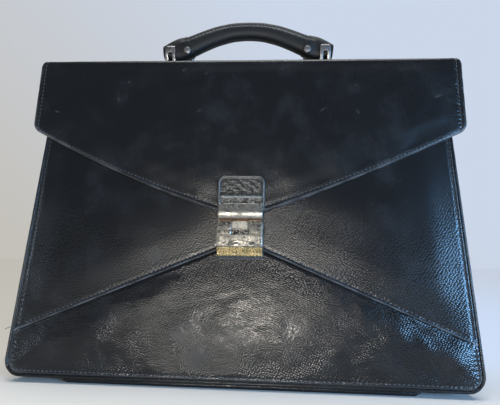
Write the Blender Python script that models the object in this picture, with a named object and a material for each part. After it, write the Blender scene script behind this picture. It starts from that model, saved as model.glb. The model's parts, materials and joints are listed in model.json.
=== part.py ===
"""A leather briefcase with a full flap, a push-button lock and a swinging handle.

The case stands on its base pad, with its front towards -Y. Both faces lean in, so
the front, the back and the flap are drawn flat in a leaning frame of their own:
x across, y up the face, z out of the face. All lengths are metres.
"""

import math

import bpy
from mathutils import Vector

MM = 0.001

# Body
FACE_HEIGHT = 304 * MM  # bottom edge of a face to the top plane, along the face
HALF_DEPTH_BASE = 45 * MM
HALF_DEPTH_TOP = 22.5 * MM
HALF_WIDTH_BASE = 208 * MM
HALF_WIDTH_TOP = 192 * MM
CORNER_RADIUS = 15 * MM
BASE_LIFT = 4.5 * MM  # the base pad stands the case this far off the ground
GAP = 0.3 * MM  # between pieces that are glued or sewn together

# Panel layers, measured out of the face from the lower panel's skin
SKIN = 2.2 * MM
YOKE_PROUD = 0.6 * MM  # the yoke laps over the lower panel
BOARD = (-4.2 * MM, -2.5 * MM)
LINING = (-5.7 * MM, -4.5 * MM)
PANEL_TOP = 290 * MM
BINDING_TOP = 293 * MM
PIPING_RADIUS = 1.5 * MM
PANEL_INSET = 3.4 * MM  # leaves room for the piping round the edge

# Seam between yoke and lower panel: a shallow inverted V
SEAM_APEX = 124 * MM
SEAM_SIDE = 37.5 * MM

# Flap
FLAP_HALF_WIDTH = 208 * MM
FLAP_CORNER = 221 * MM  # height of the lower corners up the face
FLAP_TIP = 149.2 * MM
FLAP_TIP_HALF = 20 * MM
FLAP_BOW = 3.3 * MM  # the two slanting edges swell outwards
FLAP_CORNER_RADIUS = 11 * MM
FLAP_LINING = (1.6 * MM, 2.2 * MM)
FLAP_PADDING = (2.5 * MM, 3.3 * MM)
FLAP_SKIN = (3.6 * MM, 5.4 * MM)
FLAP_TOP_EDGE = 299.5 * MM
TOP_Z = 308 * MM
TOP_SKIN = 1.8 * MM
TOP_FRONT_Y = -27.3 * MM
TOP_REAR_Y = 22 * MM
ANCHOR_LOW = 262 * MM  # the flap's leather carries on down the back to here

# Joint axes (y, z)
SPREAD_AXIS = (-HALF_DEPTH_BASE, BASE_LIFT)
HINGE_AXIS = (22.6 * MM, 306 * MM)
FOLD_AXIS = (-25.6 * MM, 306 * MM)
HANDLE_AXIS_HEIGHT = 8 * MM
HANDLE_AXIS = (0.0, TOP_Z + HANDLE_AXIS_HEIGHT)

# Gussets fold inwards, more at the top
GUSSET_THICKNESS = 2 * MM
GUSSET_FOLD_BASE = 4 * MM
GUSSET_FOLD_TOP = 30 * MM
GUSSET_TOP = 284 * MM
GUSSET_SECTIONS = 10

# Lock, heights up the face
LOCK_HALF_WIDTH = 20.5 * MM
LOCK_PAD = (105.5 * MM, 140.5 * MM)
LOCK_TOE = 109.5 * MM
LOCK_COVER = (117.3 * MM, 140 * MM)
LOCK_FACE = 11 * MM
LOCK_WALL = 1.2 * MM
BUTTON_HALF_WIDTH = 6.7 * MM
BUTTON = (133.2 * MM, 139.8 * MM)
BUTTON_TRAVEL = 4 * MM
BOLT_TOP = 146.2 * MM
HASP = (141.2 * MM, 157 * MM)
HASP_HALF_WIDTH = 20.2 * MM
TAB_TOP = 183.3 * MM
TAB_HALF_WIDTH = 22 * MM
LOCK_SCREWS = ((-15 * MM, 130 * MM), (15 * MM, 130 * MM))
HASP_RIVETS = ((-14 * MM, 153.5 * MM), (14 * MM, 153.5 * MM))
LOCK_SCREW_RADIUS = 1.2 * MM
HASP_RIVET_RADIUS = 1.3 * MM

# Handle, heights above its axis
BAIL_X = 81 * MM
BAIL_HALF_WIDTH = 5.25 * MM
BAIL_WALL = 1.6 * MM
STRAP_HEIGHT = 10 * MM
ARCH_RISE = 27 * MM
ARCH_HALF_SPAN = 74 * MM
TAPER = (64.5 * MM, 73.6 * MM)  # from grip to strap
STATION = 3.2 * MM  # sections of the handle stand at multiples of this
HANDLE_HALF_LENGTH = 28 * STATION
GRIP_HALF_HEIGHT = 9.5 * MM
GRIP_SWELL = 1.5 * MM  # thicker by this towards its ends
GRIP_HALF_DEPTH = 7.6 * MM
STRAP_HALF_HEIGHT = 4 * MM
STRAP_HALF_DEPTH = 5.7 * MM
HANDLE_SKIN = 2 * MM
HANDLE_TAB_SKIN = 1.4 * MM
HANDLE_TAB_INNER_END = 19 * STATION
HANDLE_RIVET = (62.7 * MM, 11 * MM)

LEAN = math.atan2(HALF_DEPTH_BASE - HALF_DEPTH_TOP, FACE_HEIGHT)


# ---------------------------------------------------------------- scene helpers


def clear_scene():
    for obj in list(bpy.data.objects):
        bpy.data.objects.remove(obj, do_unlink=True)


def make_material(name, colour, roughness, metallic=0.0):
    material = bpy.data.materials.new(name)
    material.use_nodes = True
    shader = material.node_tree.nodes["Principled BSDF"]
    shader.inputs["Base Color"].default_value = (*colour, 1.0)
    shader.inputs["Roughness"].default_value = roughness
    shader.inputs["Metallic"].default_value = metallic
    return material


def make_empty(name, location=(0, 0, 0), rotation=(0, 0, 0), parent=None):
    empty = bpy.data.objects.new(name, None)
    empty.empty_display_size = 0.02
    empty.location = location
    empty.rotation_euler = rotation
    empty.parent = parent
    bpy.context.scene.collection.objects.link(empty)
    return empty


def make_object(name, points, faces, look, parent):
    """One solid. look is (colour, roughness, metallic) from LOOKS."""
    mesh = bpy.data.meshes.new(name)
    mesh.from_pydata([tuple(p) for p in points], [], faces)
    mesh.update()
    obj = bpy.data.objects.new(name, mesh)
    obj.parent = parent
    mesh.materials.append(make_material(name, *LOOKS[look]))
    bpy.context.scene.collection.objects.link(obj)
    return obj


def make_cutter(name, points, faces, parent):
    mesh = bpy.data.meshes.new(name)
    mesh.from_pydata([tuple(p) for p in points], [], faces)
    cutter = bpy.data.objects.new(name, mesh)
    cutter.parent = parent
    cutter.hide_render = True
    cutter.display_type = "WIRE"
    bpy.context.scene.collection.objects.link(cutter)
    return cutter


def add_boolean(obj, cutter, operation="DIFFERENCE"):
    boolean = obj.modifiers.new(cutter.name, "BOOLEAN")
    boolean.operation = operation
    boolean.solver = "EXACT"
    boolean.object = cutter


# ---------------------------------------------------------------- shape helpers


def rounded(corners, steps=5):
    """An outline with round corners. corners holds (x, y, radius), anticlockwise."""
    outline = []
    count = len(corners)
    for i, (x, y, radius) in enumerate(corners):
        here = Vector((x, y))
        if radius == 0:
            outline.append(here)
            continue
        before = Vector(corners[i - 1][:2]) - here
        after = Vector(corners[(i + 1) % count][:2]) - here
        half_angle = before.angle(after) / 2
        start = here + before.normalized() * radius / math.tan(half_angle)
        end = here + after.normalized() * radius / math.tan(half_angle)
        bisector = (before.normalized() + after.normalized()).normalized()
        centre = here + bisector * radius / math.sin(half_angle)
        spoke = start - centre
        turn = spoke.angle_signed(end - centre)
        for step in range(steps + 1):
            angle = -turn * step / steps
            cosine = math.cos(angle)
            sine = math.sin(angle)
            arm = Vector((spoke.x * cosine - spoke.y * sine, spoke.x * sine + spoke.y * cosine))
            outline.append(centre + arm)
    return outline


def circle(radius, x=0.0, y=0.0, steps=16):
    turns = [math.tau * i / steps for i in range(steps)]
    return [Vector((x + radius * math.cos(a), y + radius * math.sin(a))) for a in turns]


def band_faces(rings, size, closed=False):
    """Quads between successive rings of size points each."""
    faces = []
    last = rings if closed else rings - 1
    for ring in range(last):
        low = ring * size
        high = ((ring + 1) % rings) * size
        for i in range(size):
            j = (i + 1) % size
            faces.append((low + i, low + j, high + j, high + i))
    return faces


def capped_faces(rings, size):
    bottom = tuple(reversed(range(size)))
    top = tuple(range((rings - 1) * size, rings * size))
    return [bottom, *band_faces(rings, size), top]


def prism_mesh(outline, low, high):
    """Extrude an anticlockwise outline in x, y from z = low to z = high."""
    points = [(p[0], p[1], low) for p in outline] + [(p[0], p[1], high) for p in outline]
    return points, capped_faces(2, len(outline))


def bar_mesh(profile, left, right):
    """Extrude an anticlockwise profile in y, z from x = left to x = right."""
    points = [(left, p[0], p[1]) for p in profile] + [(right, p[0], p[1]) for p in profile]
    return points, capped_faces(2, len(profile))


def lathe_mesh(profile, axis, centre, steps=16):
    """Turn a profile of (radius, along) round the given axis through centre.

    along runs up the axis from the first point to the last.
    """
    along = {"x": (1, 2, 0), "y": (2, 0, 1), "z": (0, 1, 2)}[axis]
    points = []
    for radius, distance in profile:
        for i in range(steps):
            angle = math.tau * i / steps
            local = [0.0, 0.0, 0.0]
            local[along[0]] = radius * math.cos(angle)
            local[along[1]] = radius * math.sin(angle)
            local[along[2]] = distance
            points.append([a + b for a, b in zip(local, centre)])
    return points, capped_faces(len(profile), steps)


def tube(name, path, radius, look, parent):
    """A round cord along a list of points."""
    data = bpy.data.curves.new(name, "CURVE")
    data.dimensions = "3D"
    data.bevel_depth = radius
    data.bevel_resolution = 2
    data.use_fill_caps = True
    data.resolution_u = 1
    data.render_resolution_u = 0
    spline = data.splines.new("POLY")
    spline.points.add(len(path) - 1)
    for point, place in zip(spline.points, path):
        point.co = (*place, 1.0)
    data.materials.append(make_material(name, *LOOKS[look]))
    obj = bpy.data.objects.new(name, data)
    obj.parent = parent
    bpy.context.scene.collection.objects.link(obj)
    return obj


def drill(obj, parent, places, radius, low, high):
    """Round holes along the parent's z axis."""
    for number, (x, y) in enumerate(places):
        name = f"{obj.name}_drill_{number}"
        cutter = make_cutter(name, *prism_mesh(circle(radius, x, y, 12), low, high), parent)
        add_boolean(obj, cutter)


# ---------------------------------------------------------------- body geometry


def body_half_width(up):
    """Half the width of the body at a height up the face, without its round corners."""
    return HALF_WIDTH_BASE + (HALF_WIDTH_TOP - HALF_WIDTH_BASE) * up / FACE_HEIGHT


def edge_half_width(up):
    """The same with the round lower corners."""
    half = body_half_width(up)
    if up >= CORNER_RADIUS:
        return half
    below = CORNER_RADIUS - up
    return half - CORNER_RADIUS + math.sqrt(CORNER_RADIUS**2 - below**2)


def inner_half_depth(z, inset):
    """Half the depth between two planes set this far in from the faces, at height z."""
    up = (z - BASE_LIFT + inset * math.sin(LEAN)) / math.cos(LEAN)
    return HALF_DEPTH_BASE - up * math.sin(LEAN) - inset * math.cos(LEAN)


def panel_outline(inset, top):
    radius = CORNER_RADIUS - inset
    low = body_half_width(inset) - inset
    high = body_half_width(top) - inset
    return rounded([(-low, inset, radius), (low, inset, radius), (high, top, 0), (-high, top, 0)])


def lower_panel_outline(inset):
    radius = CORNER_RADIUS - inset
    low = body_half_width(inset) - inset
    side = body_half_width(SEAM_SIDE) - inset
    corners = [(-low, inset, radius), (low, inset, radius), (side, SEAM_SIDE - GAP, 0)]
    corners += [(0, SEAM_APEX - GAP, 0), (-side, SEAM_SIDE - GAP, 0)]
    return rounded(corners)


def yoke_outline(inset):
    side = body_half_width(SEAM_SIDE) - inset
    high = body_half_width(PANEL_TOP) - inset
    corners = [(-side, SEAM_SIDE), (0, SEAM_APEX), (side, SEAM_SIDE)]
    return corners + [(high, PANEL_TOP), (-high, PANEL_TOP)]


def flap_outline(inset, top):
    half = FLAP_HALF_WIDTH - inset
    slope = (FLAP_CORNER - FLAP_TIP) / (FLAP_HALF_WIDTH - FLAP_TIP_HALF)
    corner = FLAP_CORNER + inset * (math.hypot(1, slope) - slope)
    tip = FLAP_TIP + inset
    tip_half = FLAP_TIP_HALF
    radius = FLAP_CORNER_RADIUS - inset
    edge = []
    for step in range(1, 7):
        share = step / 7
        bow = 4 * FLAP_BOW * share * (1 - share)
        edge.append((tip_half + (half - tip_half) * share, tip + (corner - tip) * share - bow, 0))
    mirrored = [(-x, y, 0) for x, y, _ in reversed(edge)]
    corners = [(-tip_half, tip, 0), (tip_half, tip, 0), *edge, (half, corner, radius)]
    return rounded(corners + [(half, top, 0), (-half, top, 0), (-half, corner, radius), *mirrored])


def piping_path():
    """Up the left side, round the bottom and up the right side of a face."""
    inset = PIPING_RADIUS + 0.1 * MM
    return [(p.x, p.y, -PIPING_RADIUS) for p in reversed(panel_outline(inset, PANEL_TOP))]


def open_path(path):
    """Start a closed outline at its topmost left point."""
    start = min(range(len(path)), key=lambda i: (-path[i][1], path[i][0]))
    turned = path[start:] + path[:start]
    if abs(turned[1][1] - turned[0][1]) < MM:
        turned = [turned[0], *reversed(turned[1:])]
    return turned


# ---------------------------------------------------------------- bodies


def make_face_frame(name, parent, origin, side):
    """An empty in the plane of the front (side -1) or back (side 1) face."""
    place = Vector((0, side * HALF_DEPTH_BASE, BASE_LIFT)) - Vector(origin)
    turn = math.pi if side > 0 else 0.0
    return make_empty(name, place, (math.pi / 2 - LEAN, 0, turn), parent)


def build_back(face):
    make_object("back_leather", *prism_mesh(panel_outline(PANEL_INSET, PANEL_TOP), -SKIN, 0), "leather", face)
    inner = panel_outline(PANEL_INSET + 2 * MM, PANEL_TOP - 2 * MM)
    make_object("back_board", *prism_mesh(inner, *BOARD), "board", face)
    make_object("back_lining", *prism_mesh(inner, *LINING), "lining", face)
    tube("back_piping", open_path(piping_path()), PIPING_RADIUS, "leather", face)
    half = body_half_width(PANEL_TOP) - PANEL_INSET
    binding = [(PANEL_TOP + GAP, -6 * MM), (BINDING_TOP, -6 * MM), (BINDING_TOP, 0), (PANEL_TOP + GAP, 0)]
    make_object("back_top_binding", *bar_mesh(binding, -half, half), "leather", face)
    anchor_half = FLAP_HALF_WIDTH
    anchor = rounded(
        [
            (-anchor_half, ANCHOR_LOW, 8 * MM),
            (anchor_half, ANCHOR_LOW, 8 * MM),
            (anchor_half, 301 * MM, 0),
            (-anchor_half, 301 * MM, 0),
        ]
    )
    make_object("flap_anchor", *prism_mesh(anchor, GAP, 2.1 * MM), "leather", face)
    pocket = rounded(
        [
            (-150 * MM, 60 * MM, 12 * MM),
            (150 * MM, 60 * MM, 12 * MM),
            (150 * MM, 205 * MM, 0),
            (-150 * MM, 205 * MM, 0),
        ]
    )
    make_object("inner_pocket", *prism_mesh(pocket, -7.4 * MM, -6 * MM), "lining", face)


def build_gusset(name, side, case):
    """A folded side wall. Each section is a V whose point is towards the inside."""
    points = []
    for number in range(GUSSET_SECTIONS):
        share = number / (GUSSET_SECTIONS - 1)
        up = 3.2 * MM + (GUSSET_TOP - 3.2 * MM) * share**1.5
        z = BASE_LIFT + up * math.cos(LEAN)
        depth = inner_half_depth(z, -LINING[0] + 0.4 * MM)
        outer = edge_half_width(up) - 5 * MM
        fold = GUSSET_FOLD_BASE + (GUSSET_FOLD_TOP - GUSSET_FOLD_BASE) * share
        wall = GUSSET_THICKNESS * math.hypot(1, fold / depth)
        section = [
            (outer, -depth),
            (outer - fold, 0.0),
            (outer, depth),
            (outer - wall, depth),
            (outer - fold - wall, 0.0),
            (outer - wall, -depth),
        ]
        if side < 0:
            section = [(-x, y) for x, y in reversed(section)]
        points += [(x, y, z) for x, y in section]
    faces = capped_faces(GUSSET_SECTIONS, 6)
    make_object(name, points, faces, "leather", case)


def build_base(case):
    """Leather bottom, its board inside, the pad that it stands on, and the divider."""
    depth = inner_half_depth(BASE_LIFT, -LINING[0] + 0.7 * MM)
    floor_half = body_half_width(0) - CORNER_RADIUS
    low = BASE_LIFT + GAP
    panel = rounded([(-depth, low, 0), (depth, low, 0), (depth, low + 1.8 * MM, 0), (-depth, low + 1.8 * MM, 0)])
    make_object("base_panel", *bar_mesh(panel, -floor_half - 3 * MM, floor_half + 3 * MM), "leather", case)
    low += 2.1 * MM
    inset = depth - 2 * MM
    board = [(-inset, low), (inset, low), (inset, low + 1.8 * MM), (-inset, low + 1.8 * MM)]
    make_object("base_board", *bar_mesh(board, -floor_half + 6 * MM, floor_half - 6 * MM), "board", case)
    end = 158 * MM
    pad = [(-41 * MM, 0), (41 * MM, 0), (41 * MM, 4.2 * MM), (-41 * MM, 4.2 * MM)]
    base_pad = make_object("base_pad", *bar_mesh(pad, -end, end), "leather", case)
    for vertex in base_pad.data.vertices:
        if vertex.co.z < MM:
            vertex.co.x *= (end - 7 * MM) / end
    divider_low = 11 * MM
    divider_high = 270 * MM
    low_half = 186 * MM
    high_half = 146 * MM
    outline = [(-low_half, divider_low), (low_half, divider_low), (high_half, divider_high), (-high_half, divider_high)]
    points = [(x, MM, z) for x, z in outline] + [(x, -MM, z) for x, z in outline]
    make_object("divider", points, capped_faces(2, 4), "lining", case)
    low = divider_high + GAP
    binding = [(-2.2 * MM, low), (2.2 * MM, low), (2.2 * MM, low + 3 * MM), (-2.2 * MM, low + 3 * MM)]
    make_object("divider_binding", *bar_mesh(binding, -high_half, high_half), "leather", case)


def build_front(face):
    yoke = make_object("front_yoke", *prism_mesh(yoke_outline(PANEL_INSET), -SKIN, YOKE_PROUD), "leather", face)
    lower = lower_panel_outline(PANEL_INSET)
    make_object("front_lower_panel", *prism_mesh(lower, -SKIN, 0), "leather", face)
    inner = panel_outline(PANEL_INSET + 2 * MM, PANEL_TOP - 2 * MM)
    board = make_object("front_board", *prism_mesh(inner, *BOARD), "board", face)
    lining = make_object("front_lining", *prism_mesh(inner, *LINING), "lining", face)
    tube("front_piping", open_path(piping_path()), PIPING_RADIUS, "leather", face)
    half = body_half_width(PANEL_TOP) - PANEL_INSET
    front = YOKE_PROUD
    binding = [(PANEL_TOP + GAP, -6 * MM), (BINDING_TOP, -6 * MM), (BINDING_TOP, front), (PANEL_TOP + GAP, front)]
    make_object("front_top_binding", *bar_mesh(binding, -half, half), "leather", face)
    for obj in (yoke, board, lining):
        drill(obj, face, LOCK_SCREWS, LOCK_SCREW_RADIUS + GAP, -8 * MM, 4 * MM)


def build_lock(face):
    """The half of the lock that stays on the front: pad, base with toe, cover and fixings."""
    half = LOCK_HALF_WIDTH
    low, high = LOCK_PAD
    pad_outline = rounded(
        [
            (-half - 0.8 * MM, low, 3 * MM),
            (half + 0.8 * MM, low, 3 * MM),
            (half + 0.8 * MM, high, MM),
            (-half - 0.8 * MM, high, MM),
        ]
    )
    pad = make_object("lock_pad", *prism_mesh(pad_outline, 0.9 * MM, 1.9 * MM), "leather", face)
    cover_low, cover_high = LOCK_COVER
    toe = [
        (LOCK_TOE, 2.2 * MM),
        (cover_high, 2.2 * MM),
        (cover_high, 3.2 * MM),
        (cover_low - GAP, 3.2 * MM),
        (cover_low - GAP, LOCK_FACE - 1.2 * MM),
        (LOCK_TOE + 1.5 * MM, 5 * MM),
        (LOCK_TOE, 4 * MM),
    ]
    base = make_object("lock_base", *bar_mesh(toe, -half, half), "aged_brass", face)
    cover_outline = rounded([(-half, cover_low, 0), (half, cover_low, 0), (half, cover_high, MM), (-half, cover_high, MM)])
    cover = make_object("lock_cover", *prism_mesh(cover_outline, 3.5 * MM, LOCK_FACE), "nickel", face)
    inside = rounded(
        [
            (-half + LOCK_WALL, cover_low + LOCK_WALL, 0),
            (half - LOCK_WALL, cover_low + LOCK_WALL, 0),
            (half - LOCK_WALL, cover_high - LOCK_WALL, 0),
            (-half + LOCK_WALL, cover_high - LOCK_WALL, 0),
        ]
    )
    hollow = make_cutter("lock_hollow", *prism_mesh(inside, 2 * MM, LOCK_FACE - LOCK_WALL), face)
    bolt_slot = [(-4.9 * MM, 136 * MM), (4.9 * MM, 136 * MM), (4.9 * MM, 142 * MM), (-4.9 * MM, 142 * MM)]
    slot = make_cutter("lock_bolt_slot", *prism_mesh(bolt_slot, 4.2 * MM, 7.2 * MM), face)
    stem_slot = [(-3.5 * MM, 132.9 * MM), (3.5 * MM, 132.9 * MM), (3.5 * MM, 139.3 * MM), (-3.5 * MM, 139.3 * MM)]
    window = make_cutter("lock_stem_slot", *prism_mesh(stem_slot, 8.7 * MM, 13 * MM), face)
    for cutter in (hollow, slot, window):
        add_boolean(cover, cutter)
    plate_outline = rounded(
        [
            (-19 * MM, 122 * MM, 2 * MM),
            (19 * MM, 122 * MM, 2 * MM),
            (19 * MM, 138 * MM, 2 * MM),
            (-19 * MM, 138 * MM, 2 * MM),
        ],
        3,
    )
    plate = make_object("lock_back_plate", *prism_mesh(plate_outline, -7.1 * MM, -6.1 * MM), "steel", face)
    for obj in (pad, base, plate):
        drill(obj, face, LOCK_SCREWS, LOCK_SCREW_RADIUS + GAP, -8 * MM, 4 * MM)
    for name, place in zip(("lock_screw_left", "lock_screw_right"), LOCK_SCREWS):
        head = [(2.0 * MM, -8.6 * MM), (2.5 * MM, -8.1 * MM), (2.5 * MM, -7.4 * MM)]
        shank = [(LOCK_SCREW_RADIUS, -7.4 * MM), (LOCK_SCREW_RADIUS, 3.1 * MM)]
        make_object(name, *lathe_mesh(head + shank, "z", (*place, 0), 12), "steel", face)
    build_lock_spring(face)


def build_lock_spring(face):
    turns = 5
    steps = 10
    low = 119.6 * MM
    high = 127.0 * MM
    radius = 2.3 * MM
    path = []
    for i in range(turns * steps + 1):
        angle = math.tau * i / steps
        up = low + (high - low) * i / (turns * steps)
        path.append((radius * math.cos(angle), up, 6 * MM + radius * math.sin(angle)))
    tube("lock_spring", path, 0.4 * MM, "steel", face)


def build_slider(face):
    """Button and bolt, which slide down together."""
    stem_low = 136.9 * MM
    stem_high = 139 * MM
    half = BUTTON_HALF_WIDTH
    low, high = BUTTON
    head = rounded([(-half, low, 1.2 * MM), (half, low, 1.2 * MM), (half, high, 1.2 * MM), (-half, high, 1.2 * MM)], 3)
    button = make_object("lock_button", *prism_mesh(head, LOCK_FACE + GAP, 12.9 * MM), "nickel", face)
    stem = [(-3 * MM, stem_low), (3 * MM, stem_low), (3 * MM, stem_high), (-3 * MM, stem_high)]
    stem_solid = make_cutter("lock_button_stem", *prism_mesh(stem, 9 * MM, 12 * MM), face)
    add_boolean(button, stem_solid, "UNION")
    arm = [
        (128 * MM, 4.6 * MM),
        (BOLT_TOP - 1.5 * MM, 4.6 * MM),
        (BOLT_TOP, 6.0 * MM),
        (BOLT_TOP, 6.8 * MM),
        (138.4 * MM, 6.8 * MM),
        (138.4 * MM, 8.6 * MM),
        (134.5 * MM, 8.6 * MM),
        (134.5 * MM, 6.8 * MM),
        (128 * MM, 6.8 * MM),
    ]
    make_object("latch_bolt", *bar_mesh(arm, -4.4 * MM, 4.4 * MM), "steel", face)


def build_flap_top(top):
    """The stiff strip over the mouth, which carries the handle."""
    origin = Vector((0, *HINGE_AXIS))
    shift_y = origin.y
    shift_z = origin.z
    under = TOP_Z - TOP_SKIN
    lip = 304.2 * MM
    radius = 1.7 * MM
    profile = [(TOP_REAR_Y, under, 0), (TOP_REAR_Y, TOP_Z, 0), (TOP_FRONT_Y, TOP_Z, radius), (TOP_FRONT_Y, lip, 0)]
    profile += [(TOP_FRONT_Y + 1.7 * MM, lip, 0), (TOP_FRONT_Y + 1.7 * MM, under, 0)]
    section = [(p.x - shift_y, p.y - shift_z) for p in rounded(profile)]
    half = FLAP_HALF_WIDTH
    skin = make_object("flap_top_leather", *bar_mesh(section, -half, half), "leather", top)
    bar_low = under - 1.8 * MM
    bar_high = under - GAP
    bar_outline = rounded(
        [
            (-100 * MM, -14 * MM, 5 * MM),
            (100 * MM, -14 * MM, 5 * MM),
            (100 * MM, 14 * MM, 5 * MM),
            (-100 * MM, 14 * MM, 5 * MM),
        ]
    )
    bar = [(p.x, p.y - shift_y) for p in bar_outline]
    carry_bar = make_object("carry_bar", *prism_mesh(bar, bar_low - shift_z, bar_high - shift_z), "steel", top)
    lining_low = 302.9 * MM
    front = -22.5 * MM
    rear = 19.5 * MM
    inner_half = half - 4 * MM
    lining = [(-inner_half, front), (inner_half, front), (inner_half, rear), (-inner_half, rear)]
    lining = [(x, y - shift_y) for x, y in lining]
    lining_range = (lining_low - shift_z, bar_low - GAP - shift_z)
    make_object("flap_top_lining", *prism_mesh(lining, *lining_range), "lining", top)
    for side, word in ((-1, "left"), (1, "right")):
        build_chape(top, side, word, skin, carry_bar, bar_low)


def build_chape(top, side, word, skin, carry_bar, bar_low):
    """The foot that a bail swings on, with its two rivets."""
    origin = Vector((0, *HINGE_AXIS))
    centre_x = side * BAIL_X
    axis_y = -origin.y
    axis_z = HANDLE_AXIS[1] - origin.z
    base_low = TOP_Z + GAP - origin.z
    base_high = base_low + 1.5 * MM
    outline = rounded(
        [
            (centre_x - 10 * MM, axis_y - 7 * MM, 3 * MM),
            (centre_x + 10 * MM, axis_y - 7 * MM, 3 * MM),
            (centre_x + 10 * MM, axis_y + 7 * MM, 3 * MM),
            (centre_x - 10 * MM, axis_y + 7 * MM, 3 * MM),
        ]
    )
    foot = make_object(f"chape_{word}", *prism_mesh(outline, base_low, base_high), "nickel", top)
    eye = 3.1 * MM
    arc = [math.pi * i / 8 for i in range(9)]
    lug = [(axis_y + eye * math.cos(a), axis_z + eye * math.sin(a)) for a in arc]
    lug += [(axis_y - 5 * MM, base_low + 0.7 * MM), (axis_y + 5 * MM, base_low + 0.7 * MM)]
    half = 1.9 * MM
    lug_solid = make_cutter(f"chape_lug_{word}", *bar_mesh(lug, centre_x - half, centre_x + half), top)
    add_boolean(foot, lug_solid, "UNION")
    hole = [(axis_y + p.x, axis_z + p.y) for p in circle(1.6 * MM)]
    bore = make_cutter(f"chape_bore_{word}", *bar_mesh(hole, centre_x - 5 * MM, centre_x + 5 * MM), top)
    add_boolean(foot, bore)
    places = [(centre_x - 7.5 * MM, axis_y), (centre_x + 7.5 * MM, axis_y)]
    for obj in (foot, skin, carry_bar):
        for number, (x, y) in enumerate(places):
            name = f"{obj.name}_{word}_drill_{number}"
            cutter = make_cutter(name, *prism_mesh(circle(1.3 * MM, x, y, 12), -8 * MM, 5 * MM), top)
            add_boolean(obj, cutter)
    for number, (x, y) in enumerate(places):
        tail = bar_low - origin.z
        head = base_high + GAP
        profile = [(MM, tail), (MM, head), (2 * MM, head), (2 * MM, head + 0.5 * MM), (1.3 * MM, head + MM)]
        name = f"chape_rivet_{word}_{number + 1}"
        make_object(name, *lathe_mesh(profile, "z", (x, y, 0), 12), "gunmetal", top)


def build_flap_front(face):
    top = FLAP_TOP_EDGE
    skin = make_object("flap_leather", *prism_mesh(flap_outline(0, top), *FLAP_SKIN), "leather", face)
    inset = 8 * MM
    padding_outline = flap_outline(inset, top - 3 * MM)
    padding = make_object("flap_padding", *prism_mesh(padding_outline, *FLAP_PADDING), "board", face)
    lining_outline = flap_outline(1.5 * MM, top)
    lining = make_object("flap_lining", *prism_mesh(lining_outline, *FLAP_LINING), "lining", face)
    half = TAB_HALF_WIDTH
    tab_outline = rounded(
        [
            (-half, 150 * MM, MM),
            (half, 150 * MM, MM),
            (half, TAB_TOP, 6 * MM),
            (-half, TAB_TOP, 6 * MM),
        ]
    )
    tab = make_object("hasp_tab", *prism_mesh(tab_outline, 5.7 * MM, 7.2 * MM), "leather", face)
    low, high = HASP
    middle = (low + high) / 2
    reach = (high - low) / 2
    bulge = 3.3 * MM
    back = 7.5 * MM
    steps = 10
    profile = [(low, back), (high, back)]
    for i in range(steps + 1):
        across = math.cos(math.pi * i / steps)
        height = bulge * math.sqrt(max(0.0, 1 - across**2)) ** 0.8
        profile.append((middle + reach * across, back + 0.5 * MM + height))
    profile = [profile[0], *reversed(profile[2:]), profile[1]]
    plate = [(p[0], p[1]) for p in reversed(profile)]
    make_object("hasp_plate", *bar_mesh(plate, -HASP_HALF_WIDTH, HASP_HALF_WIDTH), "nickel", face)
    staple = [
        (-6.4 * MM, 2.6 * MM),
        (6.4 * MM, 2.6 * MM),
        (6.4 * MM, 7.2 * MM),
        (4.9 * MM, 7.2 * MM),
        (4.9 * MM, 4.1 * MM),
        (-4.9 * MM, 4.1 * MM),
        (-4.9 * MM, 7.2 * MM),
        (-6.4 * MM, 7.2 * MM),
    ]
    points = [(x, 145 * MM, z) for x, z in staple] + [(x, 142.5 * MM, z) for x, z in staple]
    make_object("hasp_staple", points, capped_faces(2, len(staple)), "steel", face)
    for obj in (skin, padding, lining, tab):
        drill(obj, face, HASP_RIVETS, HASP_RIVET_RADIUS + GAP, 0, 9 * MM)
    for name, place in zip(("hasp_rivet_left", "hasp_rivet_right"), HASP_RIVETS):
        profile = [(HASP_RIVET_RADIUS, 1.6 * MM), (HASP_RIVET_RADIUS, 7.2 * MM)]
        make_object(name, *lathe_mesh(profile, "z", (*place, 0), 12), "steel", face)


# ---------------------------------------------------------------- handle


def arch_height(x):
    """Height of the handle's middle line above its axis: an arch between two straight ends."""
    above = 1 - (x / ARCH_HALF_SPAN) ** 2
    return STRAP_HEIGHT + ARCH_RISE * (above + math.sqrt(above**2 + 0.001)) / 2


def handle_size(x):
    """(half height, half depth) of the handle's leather at x."""
    share = (abs(x) - TAPER[0]) / (TAPER[1] - TAPER[0])
    share = min(1.0, max(0.0, share))
    ease = share * share * (3 - 2 * share)
    grip = GRIP_HALF_HEIGHT + GRIP_SWELL * min(1.0, abs(x) / TAPER[0]) ** 2
    height = grip + (STRAP_HALF_HEIGHT - grip) * ease
    depth = GRIP_HALF_DEPTH + (STRAP_HALF_DEPTH - GRIP_HALF_DEPTH) * ease
    return height, depth


def handle_stations(left, right):
    """Places of the sections between two ends, closer together where the handle narrows."""
    first = round(left / STATION)
    last = round(right / STATION)
    numbers = [n for n in range(first, last + 1) if abs(n) > 18 or n % 2 == 0]
    return [n * STATION for n in numbers]


def handle_ring(x, extra, steps=16):
    """A rounded section of the handle at x, thicker than the leather by extra."""
    step = MM
    slope = (arch_height(x + step) - arch_height(x - step)) / (2 * step)
    normal = Vector((-slope, 0, 1)).normalized()
    height, depth = handle_size(x)
    centre = Vector((x, 0, arch_height(x)))
    ring = []
    for i in range(steps):
        angle = math.tau * i / steps
        cosine = math.cos(angle)
        sine = math.sin(angle)
        up = math.copysign(abs(cosine) ** 0.75, cosine) * (height + extra)
        out = math.copysign(abs(sine) ** 0.75, sine) * (depth + extra)
        ring.append(centre + normal * up + Vector((0, out, 0)))
    return ring


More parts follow.
